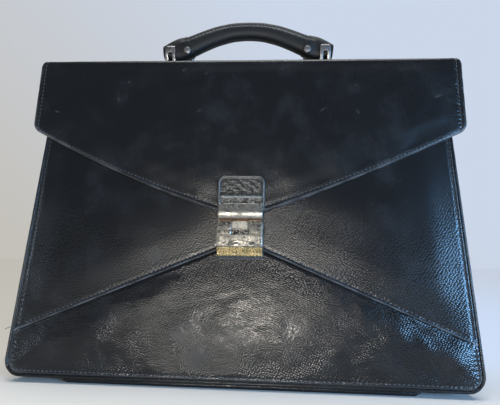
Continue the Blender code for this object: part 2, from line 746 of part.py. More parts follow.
def sleeve_mesh(stations, outer, inner):
    """A tube along the handle, open at both ends."""
    size = 16
    points = []
    for x in stations:
        points += handle_ring(x, outer)
    for x in reversed(stations):
        points += handle_ring(x, inner)
    rings = 2 * len(stations)
    faces = [tuple(reversed(face)) for face in band_faces(rings, size, closed=True)]
    return points, faces


def build_handle(pivot):
    whole = handle_stations(-HANDLE_HALF_LENGTH, HANDLE_HALF_LENGTH)
    grip = make_object("grip_leather", *sleeve_mesh(whole, 0, -HANDLE_SKIN), "leather", pivot)
    core_ends = handle_stations(-HANDLE_HALF_LENGTH + STATION, HANDLE_HALF_LENGTH - STATION)
    core_points = [point for x in core_ends for point in handle_ring(x, -HANDLE_SKIN - GAP)]
    core_faces = [tuple(reversed(face)) for face in capped_faces(len(core_ends), 16)]
    core = make_object("grip_core", core_points, core_faces, "board", pivot)
    for side, word in ((-1, "left"), (1, "right")):
        build_handle_end(pivot, side, word, grip, core)


def build_handle_end(pivot, side, word, grip, core):
    ends = sorted([side * HANDLE_TAB_INNER_END, side * HANDLE_HALF_LENGTH])
    stations = handle_stations(*ends)
    tab_mesh = sleeve_mesh(stations, GAP + HANDLE_TAB_SKIN, GAP)
    tab = make_object(f"handle_tab_{word}", *tab_mesh, "leather", pivot)
    x, z = side * HANDLE_RIVET[0], HANDLE_RIVET[1]
    surface = handle_size(x)[1] + GAP + HANDLE_TAB_SKIN + GAP
    hole = lathe_mesh([(1.8 * MM, -12 * MM), (1.8 * MM, 12 * MM)], "y", (x, 0, z), 12)
    for obj in (tab, grip, core):
        add_boolean(obj, make_cutter(f"{obj.name}_{word}_rivet_hole", *hole, pivot))
    half = [(1.5 * MM, surface), (3.6 * MM, surface), (3.6 * MM, surface + 0.6 * MM), (2.4 * MM, surface + 1.5 * MM)]
    profile = [(radius, -out) for radius, out in reversed(half)] + half
    make_object(f"handle_rivet_{word}", *lathe_mesh(profile, "y", (x, 0, z)), "gunmetal", pivot)
    build_bail(pivot, side, word)


def build_bail(pivot, side, word):
    """A metal ring round the end of the handle, split below for the chape's eye."""
    x = side * BAIL_X
    half = BAIL_HALF_WIDTH
    inner_half = STRAP_HALF_DEPTH + HANDLE_TAB_SKIN + 2.5 * GAP
    inner_top = STRAP_HEIGHT + STRAP_HALF_HEIGHT + HANDLE_TAB_SKIN + 2.5 * GAP
    inner_low = STRAP_HEIGHT - STRAP_HALF_HEIGHT - HANDLE_TAB_SKIN - 2.5 * GAP
    outer_half = inner_half + BAIL_WALL
    outer_top = inner_top + BAIL_WALL
    boss = 4.2 * MM
    outline = rounded([(outer_half, outer_top, 3 * MM), (-outer_half, outer_top, 3 * MM)] + [(-outer_half, 7 * MM, 0)]
                      + [(-boss, -boss, boss * 0.98), (boss, -boss, boss * 0.98), (outer_half, 7 * MM, 0)])
    bail = make_object(f"bail_{word}", *bar_mesh(outline, x - half, x + half), "nickel", pivot)
    opening = rounded(
        [
            (-inner_half, inner_low, 1.5 * MM),
            (inner_half, inner_low, 1.5 * MM),
            (inner_half, inner_top, 1.5 * MM),
            (-inner_half, inner_top, 1.5 * MM),
        ]
    )
    window = make_cutter(f"bail_window_{word}", *bar_mesh(opening, x - 9 * MM, x + 9 * MM), pivot)
    notch_half = 2.3 * MM
    arch = [math.pi * i / 6 for i in range(7)]
    notch = [(x + notch_half * math.cos(a), 7.2 * MM + notch_half * math.sin(a)) for a in arch]
    notch += [(x - notch_half, -8 * MM), (x + notch_half, -8 * MM)]
    points = [(px, 14 * MM, pz) for px, pz in notch] + [(px, -14 * MM, pz) for px, pz in notch]
    gap = make_cutter(f"bail_notch_{word}", points, capped_faces(2, len(notch)), pivot)
    bore = make_cutter(f"bail_bore_{word}", *bar_mesh(circle(1.6 * MM), x - 9 * MM, x + 9 * MM), pivot)
    for cutter in (window, gap, bore):
        add_boolean(bail, cutter)
    half_pin = [(1.3 * MM, half + GAP), (2.4 * MM, half + GAP), (2.4 * MM, half + 0.8 * MM), (1.6 * MM, half + 1.2 * MM)]
    profile = [(radius, -out) for radius, out in reversed(half_pin)] + half_pin
    make_object(f"pivot_pin_{word}", *lathe_mesh(profile, "x", (x, 0, 0)), "steel", pivot)


# ---------------------------------------------------------------- assembly

# colour, roughness, metallic
LOOKS = {
    "leather": ((0.012, 0.013, 0.015), 0.48),
    "board": ((0.16, 0.12, 0.08), 0.9),
    "lining": ((0.075, 0.062, 0.05), 0.85),
    "nickel": ((0.52, 0.5, 0.47), 0.34, 1.0),
    "steel": ((0.42, 0.42, 0.43), 0.38, 1.0),
    "gunmetal": ((0.16, 0.16, 0.17), 0.42, 1.0),
    "aged_brass": ((0.5, 0.4, 0.26), 0.45, 1.0),
}


def main():
    clear_scene()
    case = make_empty("case")
    back_face = make_face_frame("back_face", case, (0, 0, 0), 1)
    build_back(back_face)
    build_gusset("gusset_left", -1, case)
    build_gusset("gusset_right", 1, case)
    build_base(case)

    spread_origin = (0, *SPREAD_AXIS)
    front = make_empty("front_spread", spread_origin, parent=case)
    front_face = make_face_frame("front_face", front, spread_origin, -1)
    build_front(front_face)
    build_lock(front_face)
    build_slider(front_face)

    hinge_origin = Vector((0, *HINGE_AXIS))
    flap_top = make_empty("flap_hinge", hinge_origin, parent=case)
    build_flap_top(flap_top)

    fold_origin = Vector((0, *FOLD_AXIS))
    fold = make_empty("flap_fold", fold_origin - hinge_origin, parent=flap_top)
    flap_face = make_face_frame("flap_face", fold, fold_origin, -1)
    build_flap_front(flap_face)

    handle_origin = Vector((0, *HANDLE_AXIS))
    pivot = make_empty("handle_pivot", handle_origin - hinge_origin, parent=flap_top)
    build_handle(pivot)


main()
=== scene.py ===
"""Looks of the leather briefcase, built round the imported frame.

Leather is made as skins: a grid in sheet coordinates (x across, v along the sheet)
with an outer and an inner offset, laid on a section that gives each v its place and
its outward direction. All lengths are metres.
"""

import json
import math

import bmesh
import bpy
import numpy as np
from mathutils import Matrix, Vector


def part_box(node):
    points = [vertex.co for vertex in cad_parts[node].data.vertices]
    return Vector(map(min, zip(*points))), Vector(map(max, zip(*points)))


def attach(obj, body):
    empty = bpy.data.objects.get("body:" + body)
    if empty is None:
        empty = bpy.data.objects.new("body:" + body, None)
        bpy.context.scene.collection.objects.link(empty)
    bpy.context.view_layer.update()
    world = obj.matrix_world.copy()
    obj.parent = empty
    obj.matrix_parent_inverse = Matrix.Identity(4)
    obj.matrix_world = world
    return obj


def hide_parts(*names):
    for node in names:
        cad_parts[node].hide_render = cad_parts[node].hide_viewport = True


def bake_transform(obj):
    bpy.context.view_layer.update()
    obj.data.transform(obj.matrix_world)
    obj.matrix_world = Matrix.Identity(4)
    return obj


MM = 0.001

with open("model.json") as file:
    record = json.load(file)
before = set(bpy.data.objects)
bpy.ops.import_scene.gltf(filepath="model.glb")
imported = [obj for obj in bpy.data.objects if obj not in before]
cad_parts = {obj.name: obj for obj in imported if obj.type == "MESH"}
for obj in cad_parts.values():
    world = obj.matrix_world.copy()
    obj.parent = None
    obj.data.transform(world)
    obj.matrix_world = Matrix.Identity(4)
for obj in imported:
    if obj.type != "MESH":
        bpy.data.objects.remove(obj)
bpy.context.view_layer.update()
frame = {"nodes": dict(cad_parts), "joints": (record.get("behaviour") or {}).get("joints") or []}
nodes = frame["nodes"]
joints = {joint["name"]: joint for joint in frame["joints"]}

# Body, as the CAD solids have it
FACE_HEIGHT = 304 * MM
HALF_WIDTH_BASE = 208 * MM
HALF_WIDTH_TOP = 192 * MM
CORNER_RADIUS = 15 * MM
PANEL_TOP = 290 * MM
SEAM_APEX = 124 * MM
SEAM_SIDE = 37.5 * MM
YOKE_PROUD = 0.6 * MM
PIPING_RADIUS = 1.5 * MM

# Flap
FLAP_CORNER = 221 * MM
FLAP_TIP_HALF = 20 * MM
FLAP_TIP = 149.2 * MM
FLAP_CORNER_RADIUS = 11 * MM
FLAP_OUT = 5.4 * MM  # its outer surface, out of the face
FLAP_BOW = {-1: 4.6 * MM, 1: 2.4 * MM}  # the left slanting edge has stretched more
FOLD_RADIUS = 4.5 * MM
SEAM_ON_TOP = 12 * MM  # y of the seam across the top, behind the handle
ANCHOR_LOW = 262 * MM
ANCHOR_OUT = 2.1 * MM

# Sewing
STITCH_INSET = 5.4 * MM
STITCH_PITCH = 3.9 * MM
STITCH_SHARE = 0.74  # of the pitch that thread can be seen on
THREAD_RADIUS = 0.42 * MM
PUCKER_WIDTH = 1.5 * MM

# Panels, from the body's outline inwards and from its face
PANEL_INSET = 2.9 * MM
SEWN_INSET = 5.8 * MM
PANEL_UNDER = -2.1 * MM

# Distances from an edge at which a grid has a line
EDGE_LINES = np.array([0, 0.1, 0.3, 0.6, 1.0, 1.5, 2.1, 2.8, 3.5, 4.2, 4.8, 5.4, 6.0, 6.7, 7.6]) * MM


# ---------------------------------------------------------------- frame geometry


def unit(vectors):
    return vectors / np.linalg.norm(vectors, axis=-1, keepdims=True)


def face_normal():
    """Outward direction of the front face: that of the lower panel's largest facet."""
    facets = nodes["front_lower_panel"].data.polygons
    normal = np.array(max(facets, key=lambda facet: facet.area).normal)
    normal[0] = 0
    normal = unit(normal)
    return normal if normal[1] < 0 else -normal


FACE_ORIGIN = np.array(joints["front_spread"]["pos_m"], float)
NORMAL = face_normal()
UP = np.array([0, NORMAL[2], -NORMAL[1]])
LEAN = math.atan2(UP[1], UP[2])
TOP_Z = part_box("flap_top_leather")[1].z
FLAP_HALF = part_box("flap_leather")[1].x
HANDLE_AXIS = np.array(joints["handle_pivot"]["pos_m"], float)


def half_width(up):
    return HALF_WIDTH_BASE + (HALF_WIDTH_TOP - HALF_WIDTH_BASE) * up / FACE_HEIGHT


def face_section(side=-1):
    """Straight up the front (side -1) or the back (side 1)."""

    def section(v):
        point = FACE_ORIGIN + np.multiply.outer(v, UP)
        normal = np.broadcast_to(NORMAL, point.shape).copy()
        point[..., 1] *= -side
        normal[..., 1] *= -side
        return point, normal

    return section


def wrapped_section(side, lift, radius, top_z=TOP_Z):
    """Up the face, round the corner and in over the top. v carries on as a length.

    Returns the section and the v at which a place y on the top is reached.
    """
    corner = (top_z - FACE_ORIGIN[2] - lift * NORMAL[2]) / UP[2]
    turn = math.pi / 2 - LEAN
    start = corner - radius * math.tan(turn / 2)
    end = start + radius * turn
    centre = FACE_ORIGIN + start * UP + (lift - radius) * NORMAL

    def section(v):
        angle = np.clip((v - start) / radius, 0, turn)[..., None]
        normal = np.cos(angle) * NORMAL + np.sin(angle) * UP
        tangent = np.cos(angle) * UP - np.sin(angle) * NORMAL
        straight = np.minimum(v - start, 0) + np.maximum(v - end, 0)
        point = centre + radius * normal + straight[..., None] * tangent
        point[..., 1] *= -side
        normal[..., 1] *= -side
        return point, normal

    def reach(y):
        return end + (-side * y - centre[1])

    return section, reach


# ---------------------------------------------------------------- grids and outlines


def lines_between(length, step):
    """Distances from 0 to length, close together near both ends."""
    middle = length - 2 * EDGE_LINES[-1]
    count = max(2, round(middle / step))
    inner = EDGE_LINES[-1] + middle * np.arange(1, count) / count
    return np.concatenate([EDGE_LINES, inner, length - EDGE_LINES[::-1]])


def columns_between(low, high, step):
    """Rows of a grid whose columns run from low to high, arrays of one value a column."""
    height = high - low
    count = max(2, round(float(height.max() - 2 * EDGE_LINES[-1]) / step))
    share = np.arange(1, count) / count
    middle = EDGE_LINES[-1] + np.multiply.outer(height - 2 * EDGE_LINES[-1], share)
    start = np.broadcast_to(EDGE_LINES, (len(height), len(EDGE_LINES)))
    rows = np.concatenate([start, middle, height[:, None] - EDGE_LINES[::-1]], axis=1)
    return low[:, None] + rows


def resample(path, step):
    """The path again with points about step apart."""
    path = np.asarray(path, float)
    lengths = np.concatenate([[0], np.cumsum(np.linalg.norm(np.diff(path, axis=0), axis=1))])
    count = max(2, round(lengths[-1] / step) + 1)
    marks = np.linspace(0, lengths[-1], count)
    return np.stack([np.interp(marks, lengths, path[:, i]) for i in range(path.shape[1])], axis=1)


def arc(x, y, radius, start, end, steps=10):
    turns = np.radians(np.linspace(start, end, steps + 1))
    return np.stack([x + radius * np.cos(turns), y + radius * np.sin(turns)], axis=1)


def near(path, x, v):
    """Distance of each (x, v) from a path, and how far along it the nearest point is."""
    best = np.full(np.shape(x), np.inf)
    place = np.zeros(np.shape(x))
    done = 0.0
    for a, b in zip(path[:-1], path[1:]):
        span = b - a
        length = float(np.hypot(*span))
        if length < 1e-9:
            continue
        share = np.clip(((x - a[0]) * span[0] + (v - a[1]) * span[1]) / length**2, 0, 1)
        gap = np.hypot(x - a[0] - share * span[0], v - a[1] - share * span[1])
        closer = gap < best
        best = np.where(closer, gap, best)
        place = np.where(closer, done + share * length, place)
        done += length
    return best, place


def body_edge(inset, top=PANEL_TOP):
    """Down the left side, round the bottom and up the right side of a face."""
    radius = CORNER_RADIUS - inset
    low = HALF_WIDTH_BASE - CORNER_RADIUS
    high = half_width(top) - inset
    left = np.array([[-high, top]])
    right = np.array([[high, top]])
    corner_left = arc(-low, CORNER_RADIUS, radius, 180, 270)
    corner_right = arc(low, CORNER_RADIUS, radius, 270, 360)
    return np.concatenate([left, corner_left, corner_right, right])


def flap_edge(inset, top):
    """Down the left side of the flap, along its slanting edges and up the right side."""
    half = FLAP_HALF - inset
    slope = (FLAP_CORNER - FLAP_TIP) / (FLAP_HALF - FLAP_TIP_HALF)
    corner = FLAP_CORNER + inset * (math.hypot(1, slope) - slope)
    tip = FLAP_TIP + inset
    radius = FLAP_CORNER_RADIUS - inset
    # The corner's circle touches the side and the slanting edge
    angle = math.degrees(math.atan(slope))
    centre_x = half - radius
    centre_y = corner + radius * math.tan(math.radians(90 + angle) / 2)
    side_arc = arc(centre_x, centre_y, radius, 0, -(90 - angle), 8)
    end = side_arc[-1]
    chains = []
    for side in (-1, 1):
        share = np.linspace(0, 1, 25)[1:]
        x = end[0] + (FLAP_TIP_HALF - end[0]) * share
        y = end[1] + (tip - end[1]) * share - 4 * FLAP_BOW[side] * share * (1 - share)
        chain = np.concatenate([[[half, top]], side_arc, np.stack([x, y], axis=1)])
        chains.append(chain * (side, 1))
    return np.concatenate([chains[0], chains[1][::-1]])


def ripple(x, v, size, seed):
    """Slow unevenness between about -1 and 1, with waves of about this size."""
    draw = np.random.default_rng(seed)
    total = np.zeros(np.shape(x))
    for _ in range(7):
        turn = draw.uniform(0, math.tau)
        wave = math.tau / (size * draw.uniform(0.6, 1.7))
        total += np.sin(wave * (x * math.cos(turn) + v * math.sin(turn)) + draw.uniform(0, math.tau))
    return total / 3.5


def ease(low, high, value):
    share = np.clip((value - low) / (high - low), 0, 1)
    return share * share * (3 - 2 * share)


def bell(distance, width, other=0.0, other_width=1.0):
    """1 at distance 0, falling off in a bell curve, along one or two directions."""
    return np.exp(-((distance / width) ** 2) - (other / other_width) ** 2)


def rounding(distance, radius):
    """How far a surface has fallen, this near to an edge with that radius."""
    inside = np.clip(radius - distance, 0, radius)
    return radius - np.sqrt(radius**2 - inside**2)


def puckers(path, x, v, depth):
    """The groove that a row of stitches pulls, deepest at its needle holes."""
    gap, place = near(path, x, v)
    pull = bell(gap, PUCKER_WIDTH)
    hole = 0.55 + 0.45 * np.cos(math.tau * place / STITCH_PITCH + math.pi)
    wrinkle = 0.3 * bell(gap, 2.6 * PUCKER_WIDTH) * np.cos(math.tau * place / STITCH_PITCH)
    return depth * (pull * (0.45 + 0.55 * hole) - wrinkle)


# ---------------------------------------------------------------- meshes


def declare_sheet(grid, width, length):
    """A sheet's cut: its outline's width and length, and the area of its grid."""
    a = grid[1:, 1:] - grid[:-1, :-1]
    b = grid[:-1, 1:] - grid[1:, :-1]
    area = float(np.linalg.norm(np.cross(a, b), axis=-1).sum() / 2)
    area = min(area, width * length)


def flat_grid(x, v):
    return np.stack([x, v, np.zeros_like(v)], axis=-1)


def add_object(name, data):
    obj = bpy.data.objects.new(name, data)
    bpy.context.scene.collection.objects.link(obj)
    return obj


def mesh_object(name, vertices, faces, material=None, smooth=True):
    mesh = bpy.data.meshes.new(name)
    mesh.from_pydata(np.asarray(vertices, float).tolist(), [], faces)
    mesh.update()
    obj = add_object(name, mesh)
    if smooth:
        mesh.shade_smooth()
    if material:
        mesh.materials.append(material)
    return obj


def paint_wear(obj, values):
    # The attribute holds real wear; on the handle's welt and the tab's band it holds a painted highlight,
    # and on the face plate a painted shadow.
    wear = obj.data.attributes.new("wear", "FLOAT", "POINT")
    wear.data.foreach_set("value", np.clip(values, 0, 1).astype(np.float32).ravel())


def settle(obj, body, slot, *stands_for):
    """Rides a piece on a body, in the place of these CAD nodes. The slot is not used."""
    if stands_for:
        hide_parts(*stands_for)
    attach(obj, body)


def shell(name, outer, inner, material, wear=None, flip=False):
    """A closed sheet between two grids of points, with normals towards outer."""
    rows, columns = outer.shape[:2]
    total = rows * columns
    index = np.arange(total).reshape(rows, columns)
    quads = np.stack([index[:-1, :-1], index[1:, :-1], index[1:, 1:], index[:-1, 1:]], axis=-1)
    quads = quads.reshape(-1, 4)
    ring = np.concatenate([index[:-1, 0], index[-1, :-1], index[:0:-1, -1], index[0, :0:-1]])
    after = np.roll(ring, -1)
    wall = np.stack([ring + total, after + total, after, ring], axis=-1)
    faces = np.concatenate([quads, quads[:, ::-1] + total, wall])
    if flip:
        faces = faces[:, ::-1]
    points = np.concatenate([outer.reshape(-1, 3), inner.reshape(-1, 3)])
    obj = mesh_object(name, points, faces.tolist(), material)
    if wear is not None:
        paint_wear(obj, np.concatenate([wear.ravel(), wear.ravel()]))
    return obj


def skin(name, x, v, outer, inner, section, material, wear=None, side=-1):
    """A leather or cloth sheet from its grid in sheet coordinates."""
    point, normal = section(v)
    top, low = (point + np.broadcast_to(d, v.shape)[..., None] * normal for d in (outer, inner))
    top[..., 0] = x
    low[..., 0] = x
    return shell(name, top, low, material, wear, flip=side > 0)


def stitches(name, runs, material):
    """Rows of sewing thread. runs holds (path, section, offset), offset a function of x, v."""
    sides = 6
    lifts = np.array([-0.45, 0.06, 0.2, 0.06, -0.45]) * MM
    sizes = np.array([0.45, 0.9, 1.0, 0.9, 0.45]) * THREAD_RADIUS
    vertices = []
    faces = []
    for path, section, offset in runs:
        places = resample(path, STITCH_PITCH / 2)
        count = (len(places) - 1) // 2
        middle = places[1 : 2 * count : 2]
        way = (places[2 : 2 * count + 1 : 2] - places[0 : 2 * count - 1 : 2]) * STITCH_SHARE
        marks = np.array([-0.5, -0.28, 0, 0.28, 0.5])
        spots = middle[:, None, :] + marks[None, :, None] * way[:, None, :]
        x = spots[..., 0]
        v = spots[..., 1]
        point, normal = section(v)
        centre = point + (offset(x, v) + lifts)[..., None] * normal
        centre[..., 0] = x
        across = unit(np.cross(normal, unit(np.gradient(centre, axis=1))))
        points = centre[:, :, None, :] + sizes[:, None, None] * circle(across, normal, sides)
        for stitch in points:
            base = len(vertices)
            vertices.extend(stitch.reshape(-1, 3).tolist())
            faces.extend(tube_faces(base, 5, sides))
    return mesh_object(name, vertices, faces, material)


def circle(first, second, sides):
    """Directions all round, from first towards second, for each pair of vectors."""
    turns = (math.tau * np.arange(sides) / sides)[:, None]
    return np.cos(turns) * first[..., None, :] + np.sin(turns) * second[..., None, :]


def tube_faces(base, rings, sides):
    """A closed tube whose ring points are numbered from base."""
    faces = [tuple(base + i for i in reversed(range(sides)))]
    for ring in range(rings - 1):
        low = base + ring * sides
        for i in range(sides):
            j = (i + 1) % sides
            faces.append((low + i, low + j, low + sides + j, low + sides + i))
    last = base + (rings - 1) * sides
    faces.append(tuple(last + i for i in range(sides)))
    return faces


def tube(name, path, radius, material, sides=14):
    """A round cord along world points, with a radius for each point or one for all."""
    path = np.asarray(path, float)
    radii = np.broadcast_to(np.asarray(radius, float), (len(path),))
    tangent = unit(np.gradient(path, axis=0))
    out = np.cross(tangent, (1.0, 0.02, 0.01))
    flat = np.linalg.norm(out, axis=1) < 0.3
    out[flat] = np.cross(tangent[flat], (0.0, 0.0, 1.0))
    normal = np.zeros_like(path)
    normal[0] = out[0]
    for i in range(len(path)):
        start = normal[i - 1] if i else normal[0]
        start = start - tangent[i] * (start @ tangent[i])
        normal[i] = unit(start)
    ring = circle(normal, np.cross(tangent, normal), sides)
    points = path[:, None, :] + radii[:, None, None] * ring
    return mesh_object(name, points.reshape(-1, 3), tube_faces(0, len(path), sides), material)


def lathe(name, profile, centre, axis, material, steps=32):
    """Turns (radius, along) pairs round an axis through centre. The ends are closed."""
    axis = np.asarray(axis, float)
    first = unit(np.cross(axis, (0.3, 0.5, 0.8)))
    ring = circle(first, np.cross(axis, first), steps)
    points = [np.asarray(centre) + radius * ring + along * axis for radius, along in profile]
    return mesh_object(name, np.concatenate(points), tube_faces(0, len(profile), steps), material)


def bevel_edges(made, width, segments, angle):
    """Rounds the edges where a mesh turns by more than angle degrees."""
    limit = math.radians(angle)
    sharp = [e for e in made.edges if len(e.link_faces) == 2 and e.calc_face_angle() > limit]
    settings = {"segments": segments, "profile": 0.5, "affect": "EDGES", "clamp_overlap": True}
    bmesh.ops.bevel(made, geom=sharp, offset=width, **settings)


def smooth_with_edges(mesh):
    mesh.shade_smooth()
    mesh.set_sharp_from_angle(angle=math.radians(40))


def bevelled(name, vertices, faces, width, material, segments=3):
    """A hard-edged solid with its edges rounded."""
    obj = mesh_object(name, vertices, faces, material, smooth=False)
    made = bmesh.new()
    made.from_mesh(obj.data)
    bmesh.ops.recalc_face_normals(made, faces=made.faces)
    bevel_edges(made, width, segments, 25)
    made.to_mesh(obj.data)
    made.free()
    smooth_with_edges(obj.data)
    return obj


def on_face(x, u, d, side=-1):
    """World points from face coordinates."""
    x, u, d = np.broadcast_arrays(x, u, d)
    point = FACE_ORIGIN + u[..., None] * UP + d[..., None] * NORMAL
    point[..., 0] = x
    point[..., 1] *= -side
    return point


def bar(profile, left, right, place):
    """Extrude a (u, d) profile from x = left to x = right. place turns x, u, d into points."""
    u, d = np.asarray(profile, float).T
    points = [place(np.full(len(u), x), u, d) for x in (left, right)]
    return np.concatenate(points), tube_faces(0, 2, len(u))


# ---------------------------------------------------------------- materials


def link(tree, value, socket):
    if isinstance(value, bpy.types.NodeSocket):
        tree.links.new(value, socket)
    else:
        socket.default_value = value


def node(tree, kind, inputs=(), **settings):
    """Adds a node. inputs holds (socket name or number, value or output) pairs."""
    made = tree.nodes.new("ShaderNode" + kind)
    for key, value in settings.items():
        setattr(made, key, value)
    for key, value in inputs:
        link(tree, value, made.inputs[key])
    return made


def feed(shader, name, value):
    """Sets one of a shader's inputs, or links an output to it."""
    link(shader.id_data, value, shader.inputs[name])


def raise_surface(tree, shader, height, strength, distance):
    bump = node(tree, "Bump", [("Height", height), ("Strength", strength), ("Distance", distance)])
    feed(shader, "Normal", bump.outputs[0])


def math_node(tree, operation, *values, clamp=False):
    inputs = list(enumerate(values))
    return node(tree, "Math", inputs, operation=operation, use_clamp=clamp).outputs[0]


def vector_node(tree, kind, inputs, **settings):
    return node(tree, kind, inputs, **settings).outputs[0]


def mix_colour(tree, share, a, b):
    made = node(tree, "Mix", data_type="RGBA")
    link(tree, share, made.inputs[0])
    for socket, value in ((made.inputs[6], a), (made.inputs[7], b)):
        link(tree, value if isinstance(value, bpy.types.NodeSocket) else (*value, 1.0), socket)
    return made.outputs[2]


def map_range(tree, value, low, high, to_low=0.0, to_high=1.0):
    inputs = [(0, value), (1, low), (2, high), (3, to_low), (4, to_high)]
    return node(tree, "MapRange", inputs, interpolation_type="SMOOTHSTEP").outputs[0]


def new_material(name):
    material = bpy.data.materials.new(name)
    material.use_nodes = True
    tree = material.node_tree
    place = node(tree, "TexCoord").outputs["Object"]
    return material, tree, tree.nodes["Principled BSDF"], place


def noise_texture(tree, vector, scale, detail=2.0, roughness=0.5):
    inputs = [("Vector", vector), ("Scale", scale), ("Detail", detail), ("Roughness", roughness)]
    return node(tree, "TexNoise", inputs)


FLOW_DRIFT = 6 * MM  # how far the grain wanders
GRAIN_HEIGHT = 0.12 * MM
# Painted shade: the share of the grains' colour left in the valleys between them.
CREASE_SHADE = 0.3  # colour between the grains, against that of their tops
YARN_PITCH = 0.9 * MM
SCRATCH_DEPTH = 0.6  # of a metal's scratches, against its pits
BLACK = (0.0075, 0.008, 0.009)
# Colour of rubbed leather; on the handle's welt it is also a painted highlight.
RUBBED_AND_HIGHLIGHT = (0.13, 0.135, 0.14)


def leather(
    name, pitch, relief, roughness, turn=0.0, fold=1.0, stretch=0.62, top=BLACK, wear_and_highlight_colour=RUBBED_AND_HIGHLIGHT
):
    """Black embossed calf: small rounded grains that follow a slow flow, with worn edges.

    The grain lies in x and z + fold * y, so that it runs on over a top corner. A fold
    of 0 gives a grain in all three directions.
    """
    material, tree, shader, place = new_material(name)
    flat = place
    if fold:
        parts = node(tree, "SeparateXYZ", [(0, place)]).outputs
        along = math_node(tree, "MULTIPLY_ADD", parts[1], fold, parts[2])
        flat = node(tree, "CombineXYZ", [(0, parts[0]), (1, along)]).outputs[0]
    flow = noise_texture(tree, flat, 11.0, 1.0).outputs["Color"]
    centred = vector_node(tree, "VectorMath", [(0, flow), (1, (0.5, 0.5, 0.5))], operation="SUBTRACT")
    drift = vector_node(tree, "VectorMath", [(0, centred), ("Scale", FLOW_DRIFT)], operation="SCALE")
    moved = vector_node(tree, "VectorMath", [(0, flat), (1, drift)], operation="ADD")
    turned = vector_node(tree, "Mapping", [(0, moved), ("Rotation", (0, 0, math.radians(turn)))])
    stretched = vector_node(tree, "Mapping", [(0, turned), ("Scale", (stretch, 1.0, 1.0))])
    cells = node(
        tree,
        "TexVoronoi",
        [("Vector", stretched), ("Scale", 1 / pitch), ("Randomness", 0.5), ("Smoothness", 0.1)],
        feature="SMOOTH_F1",
        voronoi_dimensions="2D" if fold else "3D",
    ).outputs["Distance"]
    grain = map_range(tree, cells, 0.12, 0.62, 1.0, 0.0)
    fine = noise_texture(tree, place, 1300.0, 3.0, 0.6).outputs[0]
    broad = noise_texture(tree, place, 38.0, 3.0, 0.55).outputs[0]
    height = math_node(tree, "MULTIPLY_ADD", fine, 0.12, math_node(tree, "MULTIPLY", grain, 0.88))
    raise_surface(tree, shader, height, relief, GRAIN_HEIGHT)
    # Painted shade: the valleys between the grains are darker than their tops.
    valley = tuple(c * CREASE_SHADE for c in top)
    base = mix_colour(tree, grain, valley, top)
    faded = mix_colour(tree, map_range(tree, broad, 0.45, 0.8), base, tuple(c * 1.25 for c in top))
    # The "wear" attribute pales rubbed edges, and is a painted highlight on the handle's welt and the
    # tab's raised band.
    wear = node(tree, "Attribute", attribute_name="wear").outputs["Fac"]
    broken = math_node(tree, "MULTIPLY", wear, map_range(tree, fine, 0.3, 0.55))
    colour = mix_colour(tree, broken, faded, wear_and_highlight_colour)
    feed(shader, "Base Color", colour)
    rough = map_range(tree, broad, 0.3, 0.7, roughness - 0.02, roughness + 0.02)
    rough = math_node(tree, "MULTIPLY_ADD", broken, 0.18, rough)
    rough = math_node(tree, "MULTIPLY_ADD", grain, -0.03, rough)
    feed(shader, "Roughness", rough)
    feed(shader, "Specular IOR Level", 0.3)
    return material


def thread(name, colour):
    material, tree, shader, place = new_material(name)
    inputs = [("Vector", place), ("Scale", 1100.0), ("Distortion", 2.0)]
    twist = node(tree, "TexWave", inputs, bands_direction="DIAGONAL").outputs["Fac"]
    raise_surface(tree, shader, twist, 0.6, 0.1 * MM)
    # Painted highlight: the ridges of the twist are paler than the rest of the thread.
    feed(shader, "Base Color", mix_colour(tree, twist, colour, tuple(c * 2.4 for c in colour)))
    feed(shader, "Roughness", 0.55)
    feed(shader, "Sheen Weight", 0.3)
    return material


def cloth(name, colour):
    """A woven lining: two sets of yarns crossing, with a little fading."""
    material, tree, shader, place = new_material(name)
    inputs = [("Vector", place), ("Scale", 0.32 / YARN_PITCH), ("Distortion", 0.6), ("Detail", 1.0)]
    yarns = [node(tree, "TexWave", inputs, bands_direction=way).outputs["Fac"] for way in "XZ"]
    weave = math_node(tree, "MAXIMUM", *yarns)
    fuzz = noise_texture(tree, place, 900.0, 3.0, 0.6).outputs[0]
    fade = noise_texture(tree, place, 12.0, 2.0).outputs[0]
    dark = tuple(c * 0.55 for c in colour)
    light = tuple(min(1.0, c * 1.25) for c in colour)
    # Painted shade: the gaps between the yarns take the darker colour.
    woven = mix_colour(tree, weave, dark, colour)
    feed(shader, "Base Color", mix_colour(tree, map_range(tree, fade, 0.35, 0.7), woven, light))
    height = math_node(tree, "MULTIPLY_ADD", fuzz, 0.3, weave)
    raise_surface(tree, shader, height, 0.5, 0.2 * MM)
    feed(shader, "Roughness", map_range(tree, fuzz, 0.3, 0.7, 0.75, 0.92))
    feed(shader, "Sheen Weight", 0.35)
    feed(shader, "Sheen Roughness", 0.5)
    return material


